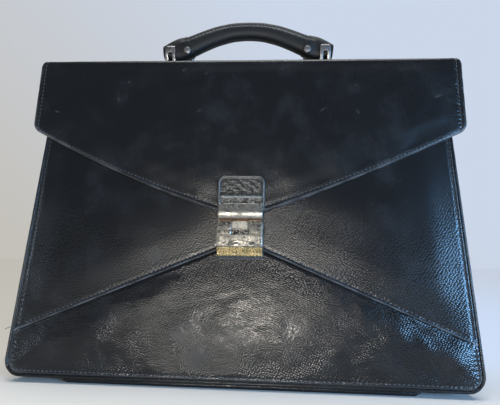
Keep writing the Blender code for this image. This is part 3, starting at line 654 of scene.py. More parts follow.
def metal(name, colour, dark, roughness, pits=0.5):
    """Plated metal with fine scratches, dull patches and small pits."""
    material, tree, shader, place = new_material(name)
    lines = vector_node(tree, "Mapping", [(0, place), ("Rotation", (0, 0.5, 0)), ("Scale", (1, 1, 14))])
    scratches = noise_texture(tree, lines, 380.0, 4.0, 0.7).outputs[0]
    patches = noise_texture(tree, place, 170.0, 4.0, 0.65).outputs[0]
    spots = noise_texture(tree, place, 620.0, 2.0, 0.5).outputs[0]
    # The "wear" attribute darkens spots: grime, and on the face plate a painted shadow round the button's
    # window.
    dark_marks = node(tree, "Attribute", attribute_name="wear").outputs["Fac"]
    marked_spots = math_node(tree, "MULTIPLY", dark_marks, map_range(tree, spots, 0.42, 0.56))
    pits_and_marks = math_node(tree, "MAXIMUM", map_range(tree, spots, 0.62, 0.7, 0.0, pits), marked_spots)
    dull = map_range(tree, patches, 0.42, 0.66)
    tarnished = mix_colour(tree, dull, colour, tuple(c * 0.62 for c in colour))
    feed(shader, "Base Color", mix_colour(tree, pits_and_marks, tarnished, dark))
    feed(shader, "Metallic", 1.0)
    rough = map_range(tree, patches, 0.35, 0.7, roughness - 0.1, roughness + 0.14)
    rough = math_node(tree, "MULTIPLY_ADD", pits_and_marks, 0.3, rough)
    feed(shader, "Roughness", rough)
    scored = math_node(tree, "MULTIPLY", scratches, SCRATCH_DEPTH)
    height = math_node(tree, "MULTIPLY_ADD", pits_and_marks, -0.8, scored)
    raise_surface(tree, shader, height, 0.5, 0.1 * MM)
    return material


def fibreboard(name):
    material, tree, shader, place = new_material(name)
    flecks = noise_texture(tree, place, 700.0, 5.0, 0.7).outputs[0]
    share = map_range(tree, flecks, 0.35, 0.7)
    feed(shader, "Base Color", mix_colour(tree, share, (0.1, 0.075, 0.05), (0.24, 0.19, 0.13)))
    raise_surface(tree, shader, flecks, 0.4, 0.2 * MM)
    feed(shader, "Roughness", 0.9)
    return material


LEATHER = leather("leather_body", 1.85 * MM, 1.0, 0.19, turn=24, stretch=0.85)
YOKE_LEATHER = leather("leather_yoke", 1.8 * MM, 0.85, 0.23, turn=32, stretch=0.75)
FLAP_LEATHER = leather("leather_flap", 1.7 * MM, 0.65, 0.26, turn=-12, stretch=0.8)
REAR_LEATHER = leather("leather_rear", 2.2 * MM, 0.8, 0.28, fold=-1.0, stretch=0.85)
SIDE_LEATHER = leather("leather_side", 2.2 * MM, 0.8, 0.3, fold=0.0, stretch=1.0)
HANDLE_LEATHER = leather(
    "leather_handle", 1.4 * MM, 0.3, 0.56, fold=0.0, stretch=1.0, top=(0.004, 0.0045, 0.005)
)
# The tab's paler wear colour is also its painted highlight along the raised band.
TAB_LEATHER = leather(
    "leather_tab", 1.2 * MM, 0.5, 0.3, top=(0.016, 0.015, 0.013), wear_and_highlight_colour=(0.3, 0.29, 0.25)
)
feed(TAB_LEATHER.node_tree.nodes["Principled BSDF"], "Specular IOR Level", 0.4)
THREAD = thread("thread_black", (0.007, 0.007, 0.008))
WORN_THREAD = thread("thread_worn", (0.085, 0.08, 0.068))
FELT = thread("felt_black", (0.006, 0.006, 0.006))
LINING = cloth("lining_twill", (0.075, 0.062, 0.05))
NICKEL = metal("nickel_worn", (0.27, 0.26, 0.235), (0.012, 0.01, 0.008), 0.38)
DULL_NICKEL = metal("nickel_dull", (0.15, 0.145, 0.132), (0.004, 0.004, 0.003), 0.32, 0.9)
# Brown metal for a painted reflection under the hasp plate.
BROWN_REFLECTION = metal("brown_reflection_metal", (0.3, 0.15, 0.07), (0.05, 0.02, 0.01), 0.5)
LUG_METAL = metal("lug_grey", (0.2, 0.2, 0.205), (0.05, 0.05, 0.05), 0.42, 0.2)
STEEL = metal("steel_plain", (0.42, 0.42, 0.43), (0.08, 0.08, 0.08), 0.38, 0.3)
GUNMETAL = metal("gunmetal_dark", (0.3, 0.3, 0.305), (0.03, 0.03, 0.03), 0.36, 0.3)
BRASS = metal("brass_aged", (0.66, 0.5, 0.25), (0.03, 0.02, 0.012), 0.28, 0.8)
BOARD = fibreboard("board_fibre")


# ---------------------------------------------------------------- flap


def flap_rise(edge_path):
    """Offset of the flap's outer surface from its CAD surface, as a function of x, v."""
    stitch_path = flap_edge(STITCH_INSET, 330 * MM)

    def rise(x, v):
        gap, _ = near(edge_path, x, v)
        lock = bell(x, 34 * MM, np.maximum(v - FLAP_TIP, 0), 30 * MM)
        crown = 1.1 * MM * ease(STITCH_INSET, 26 * MM, gap) * (1 - lock)
        bend = ease(286 * MM, 300 * MM, v)
        crown = crown * (1 - bend)
        uneven = 0.28 * MM * ripple(x, v, 60 * MM, 3) + 0.1 * MM * ripple(x, v, 17 * MM, 4)
        uneven = uneven * ease(0, 12 * MM, gap) * (1 - 0.8 * lock) * (1 - 0.7 * bend)
        folds = corner_creases(x, v)
        return crown + uneven + folds - puckers(stitch_path, x, v, 0.34 * MM) - rounding(gap, 1.9 * MM)

    return rise, stitch_path


# Side, height at that edge in millimetres, slope inwards, depth in millimetres
FLAP_CREASES = ((1, 268, 0.55, 0.5), (1, 252, 0.35, 0.4), (1, 283, 0.8, 0.45), (-1, 272, 0.5, 0.3))


def corner_creases(x, v):
    """Soft folds that run in from the flap's upper corners."""
    total = np.zeros(np.shape(x))
    for side, along, slope, size in FLAP_CREASES:
        inwards = FLAP_HALF - side * x
        gap = v - along * MM - slope * inwards
        fade = np.exp(-inwards / (26 * MM)) * (inwards > -1)
        total += -size * MM * fade * bell(gap, 2.6 * MM)
    return total


def flap_grid(inset, top, step_x, step_v):
    edge = flap_edge(inset, top)
    x = lines_between(2 * (FLAP_HALF - inset), step_x) - (FLAP_HALF - inset)
    low = np.interp(x, edge[1:-1, 0], edge[1:-1, 1])
    v = columns_between(low, np.full(len(x), top), step_v)
    return np.broadcast_to(x[:, None], v.shape), v, edge


def build_flap():
    section, reach = wrapped_section(-1, FLAP_OUT, FOLD_RADIUS)
    rear = reach(SEAM_ON_TOP)
    x, v, edge = flap_grid(0, rear, 1.5 * MM, 1.5 * MM)
    closed = np.concatenate([edge, edge[:1]])
    rise, stitch_path = flap_rise(closed)
    gap, _ = near(edge, x, v)
    outer = rise(x, v)
    turned = (1 - ease(6.2 * MM, 7.4 * MM, gap)) * (1 - ease(289 * MM, 296 * MM, v))
    inner = -1.8 * MM - 1.5 * MM * turned + rounding(gap, 0.8 * MM) * 0.8
    wear = 0.75 * np.exp(-gap / (1.1 * MM)) * (0.35 + 0.65 * ease(-0.1, 0.7, ripple(x, v, 23 * MM, 8)))
    corner = bell(np.hypot(FLAP_HALF - np.abs(x), v - 226 * MM), 9 * MM)
    wear += 0.5 * corner * np.exp(-gap / (3 * MM))
    wear += scuffs(x, v)
    obj = skin("flap_skin", x, v, outer, inner, section, FLAP_LEATHER, wear)
    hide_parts("flap_leather", "flap_top_leather")
    sewn = stitch_path[stitch_path[:, 1] < 320 * MM]
    first, last = ([[x_end, rear - 4 * MM]] for x_end in sewn[[0, -1], 0])
    sewn = np.concatenate([first, sewn, last])
    seam_half = FLAP_HALF - 6 * MM
    across = np.array([(-seam_half, rear - 2.6 * MM), (seam_half, rear - 2.6 * MM)])
    thread_obj = stitches("flap_stitching", [(path, section, rise) for path in (sewn, across)], THREAD)
    for piece in (obj, thread_obj):
        bend_flap(piece)
    build_flap_lining()
    build_rear_strip()


UPPER_CORNER = 5.2 * MM  # how far the flap's sides draw in at its upper corners
UNMOVED_HALF = 186 * MM  # and the half width inside which nothing moves


def round_upper_corners(piece):
    """Draws the flap's sides in where they run up into the fold."""
    points = np.empty(3 * len(piece.data.vertices))
    piece.data.vertices.foreach_get("co", points)
    points = points.reshape(-1, 3)
    x, y, z = points.T
    rise = np.clip((z - TOP_Z + 9 * MM) / (9.5 * MM), 0, 1)
    forwards = 1 - np.clip((y + 20 * MM) / (24 * MM), 0, 1)
    inwards = UPPER_CORNER * (1 - np.sqrt(1 - rise**2)) * forwards
    near_edge = np.clip((np.abs(x) - UNMOVED_HALF) / (FLAP_HALF - UNMOVED_HALF), 0, 1)
    points[:, 0] = x - np.sign(x) * inwards * near_edge
    piece.data.vertices.foreach_set("co", points.reshape(-1))
    piece.data.update()


def bend_flap(piece):
    """Gives a piece of the flap its round upper corners, and bakes its placing into its mesh."""
    round_upper_corners(piece)
    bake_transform(piece)


def scuffs(x, v):
    """Pale rubbed marks, here and there on the flap."""
    draw = np.random.default_rng(21)
    total = np.zeros(np.shape(x))
    for _ in range(14):
        at_x = draw.uniform(-0.19, 0.19)
        at_v = draw.uniform(0.235, 0.3)
        turn = draw.uniform(0, math.pi)
        length = draw.uniform(0.6, 3.0) * MM
        width = draw.uniform(0.3, 0.7) * MM
        dx = x - at_x
        dv = v - at_v
        a = dx * math.cos(turn) + dv * math.sin(turn)
        b = -dx * math.sin(turn) + dv * math.cos(turn)
        total += 0.32 * bell(a, length, b, width)
    return total


def build_flap_lining():
    out = 2.2 * MM
    section, reach = wrapped_section(-1, out, FOLD_RADIUS - out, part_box("flap_top_lining")[1].z)
    inset = 5.6 * MM
    rear = reach(19 * MM)
    x, v, edge = flap_grid(inset, rear, 4 * MM, 4 * MM)
    gap, _ = near(edge, x, v)
    slack = 0.25 * MM * ripple(x, v, 45 * MM, 12) * ease(0, 10 * MM, gap)
    obj = skin("flap_lining_cloth", x, v, 0.0, -0.6 * MM + slack, section, LINING)
    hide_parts("flap_lining", "flap_top_lining")
    declare_sheet(flat_grid(x, v), np.ptp(x), np.ptp(v))
    bend_flap(obj)


def build_rear_strip():
    """The flap's leather behind the handle: down the back, where it is sewn on."""
    section, reach = wrapped_section(1, ANCHOR_OUT, 4 * MM)
    top = reach(SEAM_ON_TOP + 0.5 * MM)
    x = lines_between(2 * FLAP_HALF, 2 * MM) - FLAP_HALF
    inside = np.clip(np.abs(x) - (FLAP_HALF - 8 * MM), 0, 8 * MM)
    low = ANCHOR_LOW + 8 * MM - np.sqrt((8 * MM) ** 2 - inside**2)
    v = columns_between(low, np.full(len(x), top), 1.6 * MM)
    x = np.broadcast_to(x[:, None], v.shape)
    border = np.stack([x[:, 0], v[:, 0]], axis=1)[::3]
    border = np.concatenate([border, [(FLAP_HALF, top), (-FLAP_HALF, top)], border[:1]])
    half = FLAP_HALF - 5 * MM
    foot = ANCHOR_LOW + 5 * MM
    sewn = np.array([(-half, 300 * MM), (-half, foot), (half, foot), (half, 300 * MM)])
    sewn_twice = sewn * (0.995, 1) + (0, 3 * MM)
    across = np.array([(-half, top - 2.6 * MM), (half, top - 2.6 * MM)])

    def rise(x, v):
        gap, _ = near(border, x, v)
        uneven = 0.16 * MM * ripple(x, v, 40 * MM, 31) * ease(0, 10 * MM, gap)
        grooves = [puckers(path, x, v, 0.25 * MM) for path in (sewn, sewn_twice)]
        return uneven - grooves[0] - grooves[1] - rounding(gap, 1.0 * MM)

    gap, _ = near(border, x, v)
    wear = 0.5 * np.exp(-gap / (1.2 * MM))
    obj = skin("flap_rear_skin", x, v, rise(x, v), -1.8 * MM, section, REAR_LEATHER, wear, side=1)
    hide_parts("flap_anchor")
    runs = [(path, section, rise) for path in (sewn, sewn_twice, across)]
    thread_obj = stitches("flap_rear_stitching", runs, THREAD)
    for piece in (obj, thread_obj):
        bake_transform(piece)


# ---------------------------------------------------------------- faces of the body


def seam(x):
    """Height of the seam between yoke and lower panel."""
    return SEAM_APEX - (SEAM_APEX - SEAM_SIDE) * np.abs(x) / half_width(SEAM_SIDE)


def panel_grid(inset, low_of, high_of, step_x, step_v):
    """A grid that fills a face between two heights, each a function of x."""
    share = lines_between(2 * HALF_WIDTH_BASE, step_x) / HALF_WIDTH_BASE - 1
    ends = []
    for height_of in (low_of, high_of):
        up = np.full(len(share), 0.1)
        for _ in range(12):
            up = height_of(share * (half_width(up) - inset))
        ends.append(up)
    v = columns_between(ends[0], ends[1], step_v)
    return share[:, None] * (half_width(v) - inset), v


def bottom_edge(inset):
    """Height of the bottom edge, with its round corners, as a function of x."""

    def low_of(x):
        beyond = np.clip(np.abs(x) - (HALF_WIDTH_BASE - CORNER_RADIUS), 0, CORNER_RADIUS - inset)
        return CORNER_RADIUS - np.sqrt((CORNER_RADIUS - inset) ** 2 - beyond**2)

    return low_of


def level(height):
    return lambda x: np.full(np.shape(x), height)


def panel_wear(x, v, gap):
    """Rubbed edges, most of all at the two lower corners."""
    corner = bell(np.hypot(np.abs(x) - 196 * MM, v - 12 * MM), 9 * MM)
    return 0.35 * np.exp(-gap / (1.0 * MM)) + 0.6 * corner * np.exp(-gap / (2 * MM))


def border_of(x, v, step=3):
    """The grid's outline as a closed path."""
    grid = np.stack([x, v], axis=-1)
    parts = [grid[:-1, 0], grid[-1, :-1], grid[:0:-1, -1], grid[0, :0:-1]]
    ring = np.concatenate(parts)[::step]
    return np.concatenate([ring, ring[:1]])


def build_lower_panel():
    low_of = bottom_edge(PANEL_INSET)
    x, v = panel_grid(PANEL_INSET, low_of, lambda x: seam(x) - 0.3 * MM, 1.5 * MM, 1.5 * MM)
    edge = body_edge(PANEL_INSET)
    sewn = body_edge(SEWN_INSET, SEAM_SIDE - 2 * MM)

    def rise(x, v):
        gap, _ = near(edge, x, v)
        below = seam(x) - v
        lock = bell(x, 40 * MM, v - SEAM_APEX, 34 * MM)
        crown = 1.3 * MM * ease(3 * MM, 34 * MM, gap) * ease(0, 26 * MM, below) * (1 - lock)
        bulge = 1.3 * MM * bell(x - 186 * MM, 13 * MM, v - 30 * MM, 12 * MM)
        uneven = 0.3 * MM * ripple(x, v, 48 * MM, 5) + 0.1 * MM * ripple(x, v, 15 * MM, 6)
        uneven = uneven * ease(0, 9 * MM, gap) * (1 - lock)
        tuck = 0.5 * MM * (1 - ease(0, 3.5 * MM, below))
        return crown + bulge + uneven - tuck - puckers(sewn, x, v, 0.28 * MM) - rounding(gap, 1.6 * MM)

    wear = panel_wear(x, v, near(edge, x, v)[0])
    section = face_section(-1)
    obj = skin("lower_panel_skin", x, v, rise(x, v), PANEL_UNDER, section, LEATHER, wear)
    settle(obj, "front", "leather", "front_lower_panel")
    return sewn, section, rise


def build_yoke():
    x, v = panel_grid(PANEL_INSET, seam, level(PANEL_TOP), 1.5 * MM, 1.6 * MM)
    sides = body_edge(PANEL_INSET)
    seam_half = half_width(SEAM_SIDE) - PANEL_INSET
    seam_x = np.linspace(-seam_half, seam_half, 41)
    seam_line = np.stack([seam_x, seam(seam_x)], axis=1)
    sewn_seam = seam_line[1:-1] + (0, 3.1 * MM)
    start = SEAM_SIDE + 7 * MM
    sewn_left = np.array([body_edge(SEWN_INSET)[0], (SEWN_INSET - half_width(start), start)])
    sewn_right = sewn_left * (-1, 1)

    def rise(x, v):
        gap, _ = near(sides, x, v)
        above, _ = near(seam_line, x, v)
        lock = bell(x, 36 * MM, v - 126 * MM, 30 * MM)
        under = ease(150 * MM, 200 * MM, v)  # the flap covers what is above here
        crown = 0.9 * MM * ease(3 * MM, 30 * MM, gap) * ease(3 * MM, 30 * MM, above)
        crown = crown * (1 - lock) * (1 - 0.75 * under)
        uneven = 0.26 * MM * ripple(x, v, 55 * MM, 15) * ease(0, 9 * MM, gap)
        uneven = uneven * (1 - lock) * (1 - 0.6 * under)
        lip = 0.5 * MM * bell(above, 1.2 * MM)
        groove = puckers(sewn_seam, x, v, 0.36 * MM)
        for path in (sewn_left, sewn_right):
            groove = groove + puckers(path, x, v, 0.3 * MM)
        rise = YOKE_PROUD + crown + uneven + lip - groove
        return rise - rounding(gap, 1.6 * MM) - rounding(above, 0.55 * MM)

    gap, _ = near(sides, x, v)
    above, _ = near(seam_line, x, v)
    patchy = 0.45 + 0.55 * ease(-0.3, 0.6, ripple(x, v, 19 * MM, 9))
    wear = 0.8 * bell(above, 1.1 * MM) * patchy + 0.3 * np.exp(-gap / (1.0 * MM))
    section = face_section(-1)
    obj = skin("yoke_skin", x, v, rise(x, v), PANEL_UNDER, section, YOKE_LEATHER, wear)
    settle(obj, "front", "leather", "front_yoke")
    return [(path, section, rise) for path in (sewn_seam, sewn_left, sewn_right)]


def build_back_skin():
    x, v = panel_grid(PANEL_INSET, bottom_edge(PANEL_INSET), level(PANEL_TOP), 2.4 * MM, 2.4 * MM)
    edge = body_edge(PANEL_INSET)
    sewn = body_edge(SEWN_INSET, 258 * MM)

    def rise(x, v):
        gap, _ = near(edge, x, v)
        under = ease(240 * MM, 262 * MM, v)
        crown = 1.1 * MM * ease(3 * MM, 40 * MM, gap) * (1 - under)
        uneven = 0.3 * MM * ripple(x, v, 60 * MM, 45) * ease(0, 9 * MM, gap) * (1 - under)
        return crown + uneven - puckers(sewn, x, v, 0.36 * MM) - rounding(gap, 1.6 * MM) - 0.1 * MM

    wear = panel_wear(x, v, near(edge, x, v)[0])
    section = face_section(1)
    obj = skin("back_skin", x, v, rise(x, v), PANEL_UNDER, section, REAR_LEATHER, wear, side=1)
    settle(obj, "case", "leather", "back_leather")
    thread_obj = stitches("back_stitching", [(sewn, section, rise)], THREAD)
    settle(thread_obj, "case", "leather")


def build_front():
    runs = [build_lower_panel(), *build_yoke()]
    thread_obj = stitches("front_stitching", runs, THREAD)
    settle(thread_obj, "front", "leather")
    build_loose_thread()


def build_loose_thread():
    """The thread end that has come out where the seam meets the left side."""
    start_x = -half_width(SEAM_SIDE) + 5 * MM
    steps = np.linspace(0, 1, 12)
    x = start_x - 8.5 * MM * steps
    u = seam(start_x) + 2 * MM + 1.2 * MM * np.sin(3.2 * steps) - 1.5 * MM * steps
    d = 1.2 * MM + 1.6 * MM * np.sin(2.6 * steps)
    obj = tube("loose_thread", on_face(x, u, d), 0.28 * MM, THREAD, sides=6)
    settle(obj, "front", "leather")


def build_piping(side, node_name, body):
    path = resample(body_edge(PIPING_RADIUS + 0.1 * MM), 2 * MM)
    size = PIPING_RADIUS * (1 + 0.03 * ripple(path[:, 0], path[:, 1], 14 * MM, 60 + side))
    points = on_face(path[:, 0], path[:, 1], -PIPING_RADIUS, side)
    obj = tube(node_name + "_cord", points, size, SIDE_LEATHER, sides=16)
    settle(obj, body, "leather", node_name)


def build_binding(side, node_name, body, front):
    half = half_width(PANEL_TOP) - 3.2 * MM
    low = PANEL_TOP + 0.3 * MM
    high = PANEL_TOP + 3 * MM
    profile = [(low, front), (low, -6 * MM), (high, -6 * MM), (high, front)]
    points, faces = bar(profile, -half, half, lambda x, u, d: on_face(x, u, d, side))
    obj = bevelled(node_name + "_edge", points, faces, 1.1 * MM, SIDE_LEATHER, 4)
    settle(obj, body, "leather", node_name)


# ---------------------------------------------------------------- inside


def build_lining(side, node_name, body):
    inset = 5.6 * MM
    x, v = panel_grid(inset, bottom_edge(inset), level(PANEL_TOP - 2 * MM), 5 * MM, 5 * MM)
    gap, _ = near(border_of(x, v), x, v)
    slack = 0.35 * MM * ripple(x, v, 50 * MM, 70 + side) * ease(0, 12 * MM, gap)
    inner = -5.5 * MM + slack * 0.5
    obj = skin(node_name + "_cloth", x, v, -4.6 * MM, inner, face_section(side), LINING, side=side)
    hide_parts(node_name)
    declare_sheet(flat_grid(x, v), np.ptp(x), np.ptp(v))
    settle(obj, body, "lining")


def build_pocket():
    half = 150 * MM
    low = 60 * MM
    high = 205 * MM
    radius = 12 * MM
    x = lines_between(2 * half, 4 * MM) - half
    inside = np.clip(np.abs(x) - (half - radius), 0, radius)
    foot = low + radius - np.sqrt(radius**2 - inside**2)
    v = columns_between(foot, np.full(len(x), high), 4 * MM)
    x = np.broadcast_to(x[:, None], v.shape)
    gap, _ = near(border_of(x, v)[:-1], x, v)
    mouth = 3.2 * MM * ease(120 * MM, high, v) * np.clip(1 - (x / half) ** 2, 0, 1) ** 1.5
    slack = 0.5 * MM * ripple(x, v, 38 * MM, 81) * ease(0, 15 * MM, gap)
    inner = -7.2 * MM - mouth + slack
    obj = skin("inner_pocket_cloth", x, v, inner + 1.1 * MM, inner, face_section(1), LINING, side=1)
    settle(obj, "case", "lining", "inner_pocket")
    declare_sheet(flat_grid(x, v), np.ptp(x), np.ptp(v))


def build_divider():
    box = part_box("divider")
    low, high = box[0].z, box[1].z
    low_half = box[1].x
    high_half = 146 * MM
    z = np.linspace(low, high, 60)
    share = np.linspace(-1, 1, 90)
    half = low_half + (high_half - low_half) * (z - low) / (high - low)
    x = share[:, None] * half
    z = np.broadcast_to(z, x.shape)
    bow = 1.6 * MM * ripple(x, z, 130 * MM, 91) * ease(0, 0.15, z - low) * (1 - share[:, None] ** 2)
    outer, inner = (np.stack([x, bow + way * 0.9 * MM, z], axis=-1) for way in (-1, 1))
    obj = shell("divider_cloth", outer, inner, LINING)
    settle(obj, "case", "lining", "divider")
    path = np.stack([x[:, -1], bow[:, -1], np.full(len(x), high + 1.2 * MM)], axis=1)
    edge = tube("divider_binding_edge", resample(path, 4 * MM), 2.1 * MM, SIDE_LEATHER, sides=14)
    settle(edge, "case", "leather", "divider_binding")


GUSSET_LOW = 3.2 * MM
GUSSET_LENGTH = 281 * MM


def build_gusset(side, word):
    """A soft folded side wall: shallow at the bottom, drawn in deeply at the mouth."""
    name = "gusset_" + word
    up = GUSSET_LOW + GUSSET_LENGTH * np.linspace(0, 1, 90)
    t = np.linspace(-1, 1, 61)
    depth = -FACE_ORIGIN[1] - up * math.sin(LEAN) - 6.4 * MM
    share = ((up - up[0]) / (up[-1] - up[0])) ** 0.72
    fold = (4 + 25.5 * share) * MM
    outer_x = half_width(up) - 5.2 * MM - 1.5 * MM * np.clip(1 - up / (12 * MM), 0, 1)
    soft = np.sqrt(t**2 + 0.006) - math.sqrt(0.006)
    bend = 1 - (soft / soft.max()) ** 1.35
    x = outer_x[:, None] - fold[:, None] * bend[None, :]
    y = depth[:, None] * t[None, :]
    z = np.broadcast_to((FACE_ORIGIN[2] + up * math.cos(LEAN))[:, None], x.shape)
    x = x + 0.5 * MM * ripple(y, z, 34 * MM, 100 + side) * np.clip(1 - t**2, 0, 1)[None, :]
    grid = np.stack([side * x, y, z], axis=-1)
    normal = unit(np.cross(np.gradient(grid, axis=0), np.gradient(grid, axis=1)))
    if normal[40, 5, 0] * side < 0:
        normal = -normal
    inner = grid - 1.8 * MM * normal
    obj = shell(name + "_skin", grid, inner, SIDE_LEATHER, flip=side > 0)
    fix_normals(obj)
    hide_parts(name)
    across = np.linalg.norm(np.diff(grid, axis=1), axis=-1).sum(axis=1).max()
    declare_sheet(grid, across, GUSSET_LENGTH)
    path = resample((grid[-1] + inner[-1]) / 2 + (0, 0, 0.6 * MM), 2 * MM)
    edge = tube(name + "_edge", path, 1.5 * MM, SIDE_LEATHER, sides=12)
    for piece in (obj, edge):
        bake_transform(piece)


def fix_normals(obj):
    made = bmesh.new()
    made.from_mesh(obj.data)
    bmesh.ops.recalc_face_normals(made, faces=made.faces)
    made.to_mesh(obj.data)
    made.free()


def base_slab(node_name, drawn_in, width, segments):
    """A slab as big as its CAD node, with its ends drawn in at the floor."""
    low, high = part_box(node_name)
    profile = [(low.y, low.z), (high.y, low.z), (high.y, high.z), (low.y, high.z)]
    points, faces = bar(profile, low.x, high.x, lambda x, u, d: np.stack([x, u, d], axis=-1))
    points[points[:, 2] < 1 * MM, 0] *= 1 - drawn_in / high.x
    obj = bevelled(node_name + "_skin", points, faces, width, LEATHER, segments)
    settle(obj, "case", "leather", node_name)
    return obj


def build_base():
    base_slab("base_pad", 7 * MM, 1.6 * MM, 4)
    base_slab("base_panel", 0.0, 0.7 * MM, 3)


# ---------------------------------------------------------------- lock


def face_piece(name, corners, low, high, width, material, segments=3):
    """A slab on the front face from its (x, u) corners, with rounded edges."""
    x, u = np.asarray(corners, float).T
    points = np.concatenate([on_face(x, u, d) for d in (low, high)])
    return bevelled(name, points, tube_faces(0, 2, len(u)), width, material, segments)


def round_corners(half, low, high, radius_low, radius_high, steps=6):
    """A rectangle in (x, u), anticlockwise, with its lower and upper corners rounded."""
    parts = [
        arc(half - radius_low, low + radius_low, radius_low, 270, 360, steps),
        arc(half - radius_high, high - radius_high, radius_high, 0, 90, steps),
        arc(radius_high - half, high - radius_high, radius_high, 90, 180, steps),
        arc(radius_low - half, low + radius_low, radius_low, 180, 270, steps),
    ]
    return np.concatenate(parts)


def build_lock_pad():
    corners = round_corners(21.0 * MM, 107.4 * MM, 140.4 * MM, 3 * MM, 1 * MM)
    pad = face_piece("lock_pad_felt", corners, 0.9 * MM, 1.9 * MM, 0.4 * MM, FELT)
    settle(pad, "front", "leather", "lock_pad")


def small_grid(half, low, high, step=0.35 * MM):
    """An even grid for a small piece. low and high are heights up the face."""
    x = np.linspace(-half, half, round(2 * half / step) + 1)
    share = np.linspace(0, 1, round(float(np.max(high - low)) / step) + 1)
    low = np.broadcast_to(low, x.shape)
    high = np.broadcast_to(high, x.shape)
    v = low[:, None] + np.multiply.outer(high - low, share)
    return np.broadcast_to(x[:, None], v.shape), v


# The hasp plate's distance from the face, from its lower to its upper edge
HASP_HEIGHTS = np.array([8.6, 9.7, 10.4, 10.9, 11.2, 11.25, 11.1, 10.8, 10.4, 10.0, 9.7, 9.4]) * MM


def build_hasp_plate():
    """Bent plate: nearly flat above, then a bold roll that curls in over the gap."""
    half, low, high = 20.1 * MM, 141.3 * MM, 156.9 * MM
    x, v = small_grid(half, low, high)
    share = (v - low) / (high - low)
    d = np.interp(share, np.linspace(0, 1, len(HASP_HEIGHTS)), HASP_HEIGHTS)
    d = np.pad(d, ((0, 0), (2, 2)), mode="edge")
    kernel = np.ones(5) / 5
    d = np.apply_along_axis(lambda row: np.convolve(row, kernel, mode="valid"), 1, d)
    gap = np.minimum(half - np.abs(x), np.minimum(v - low, high - v))
    dents = 0.05 * MM * ripple(x, v, 6 * MM, 131) + 0.025 * MM * ripple(x, v, 2.2 * MM, 132)
    tooling = 0.09 * MM * ripple(x, v, 1.5 * MM, 133) * ease(0.55, 0.75, share)
    outer = d + dents + tooling - rounding(gap, 0.6 * MM)
    dark_marks = 0.9 * ease(0.5, 0.85, share) * ease(-0.2, 0.7, ripple(x, v, 5 * MM, 134))
    obj = skin("hasp_plate_rolled", x, v, outer, 7.6 * MM, face_section(), NICKEL, dark_marks)
    settle(obj, "flap_front", "nickel", "hasp_plate")


# The engraved face plate, and the window in it that the button slides in
PLATE_HALF = 20.2 * MM
PLATE_LOW = 117.6 * MM
PLATE_HIGH = 140.5 * MM
PLATE_SPLIT = 132.3 * MM
PLATE_UNDER = 11.0 * MM
WINDOW_HALF = 7.8 * MM
WINDOW_LOW = 128.4 * MM
WINDOW_FACE = 11.16 * MM
SIDE_PLATE = 7.9 * MM


def face_plate(name, left, right, low, high):
    """Part of the engraved face plate: gently rolled, and let down where the button slides."""
    x, v = small_grid((right - left) / 2, low, high)
    x = x + (left + right) / 2
    rim = np.minimum(PLATE_HALF - np.abs(x), np.minimum(v - PLATE_LOW, PLATE_HIGH - v))
    border = 1 - ease(3.0 * MM, 5.6 * MM, rim + 2.2 * MM * ease(0.1, 0.8, ripple(x, v, 8 * MM, 140)))
    curl = ripple(x, v, 1.5 * MM, 141) * np.cos(2600 * rim)
    arch_line = np.abs(np.hypot(x / 1.9, v - 116 * MM) - 6.5 * MM)
    hill = 0.12 * MM * bell(arch_line, 0.5 * MM)
    crown = 0.3 * MM * (1 - (x / (21 * MM)) ** 2)
    roll = 0.4 * MM * (1 - ((v - 130.5 * MM) / (12.9 * MM)) ** 2)
    uneven = 0.03 * MM * ripple(x, v, 5 * MM, 142)
    outer = 11.05 * MM + crown + roll + 0.09 * MM * border * curl + hill + uneven
    window = np.hypot(np.maximum(np.abs(x) - WINDOW_HALF, 0), np.maximum(WINDOW_LOW - v, 0))
    outer = np.minimum(outer, WINDOW_FACE + 1.2 * MM * ease(0, 0.7 * MM, window))
    gap = np.minimum(np.minimum(x - left, right - x), np.minimum(v - low, high - v))
    open_edge = (rim < 2 * MM) | (window < 2 * MM)
    outer = outer - np.where(open_edge, rounding(gap, 0.4 * MM), 0)
    dark_marks = border * ease(-0.35, 0.15, curl) * ease(0.7 * MM, 1.5 * MM, rim)
    # Painted shadow: a dark band along the edges of the button's window, where the plate steps down.
    dark_marks = np.maximum(dark_marks, 0.9 * bell(window, 0.5 * MM))
    obj = skin(name, x, v, outer, PLATE_UNDER, face_section(), DULL_NICKEL, dark_marks)
    settle(obj, "front", "nickel")


def build_lock_spring():
    """The coil under the bolt, which closes up when the button goes down; it is built here in one fixed
    shape.
    """
    turn = np.linspace(0, 5 * math.tau, 101)
    up = 119.6 * MM + 7.4 * MM * turn / turn[-1]
    radius = 2.3 * MM
    points = on_face(radius * np.cos(turn), up, 6 * MM + radius * np.sin(turn))
    obj = tube("lock_spring_coil", points, 0.4 * MM, STEEL, sides=10)
    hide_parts("lock_spring")
    ends = on_face(np.zeros(2), np.array([119.6, 127.0]) * MM, np.full(2, 6 * MM))
    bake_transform(obj)


def build_lock_face():
    """Engraved face plate round the button, and the cast toe below it."""
    face_plate("lock_face_plate", -PLATE_HALF, PLATE_HALF, PLATE_LOW, PLATE_SPLIT)
    face_plate("lock_face_left", -PLATE_HALF, -SIDE_PLATE, PLATE_SPLIT, PLATE_HIGH)
    face_plate("lock_face_right", SIDE_PLATE, PLATE_HALF, PLATE_SPLIT, PLATE_HIGH)
    # A brown metal strip under the hasp plate's lower edge: a painted brownish reflection.
    strip = np.array([(-19.4, 140.7), (19.4, 140.7), (19.4, 141.2), (-19.4, 141.2)]) * MM
    obj = face_piece("lock_seal_strip", strip, 8 * MM, 11.2 * MM, 0.08 * MM, BROWN_REFLECTION, 1)
    settle(obj, "front", "aged_brass")
    build_toe()


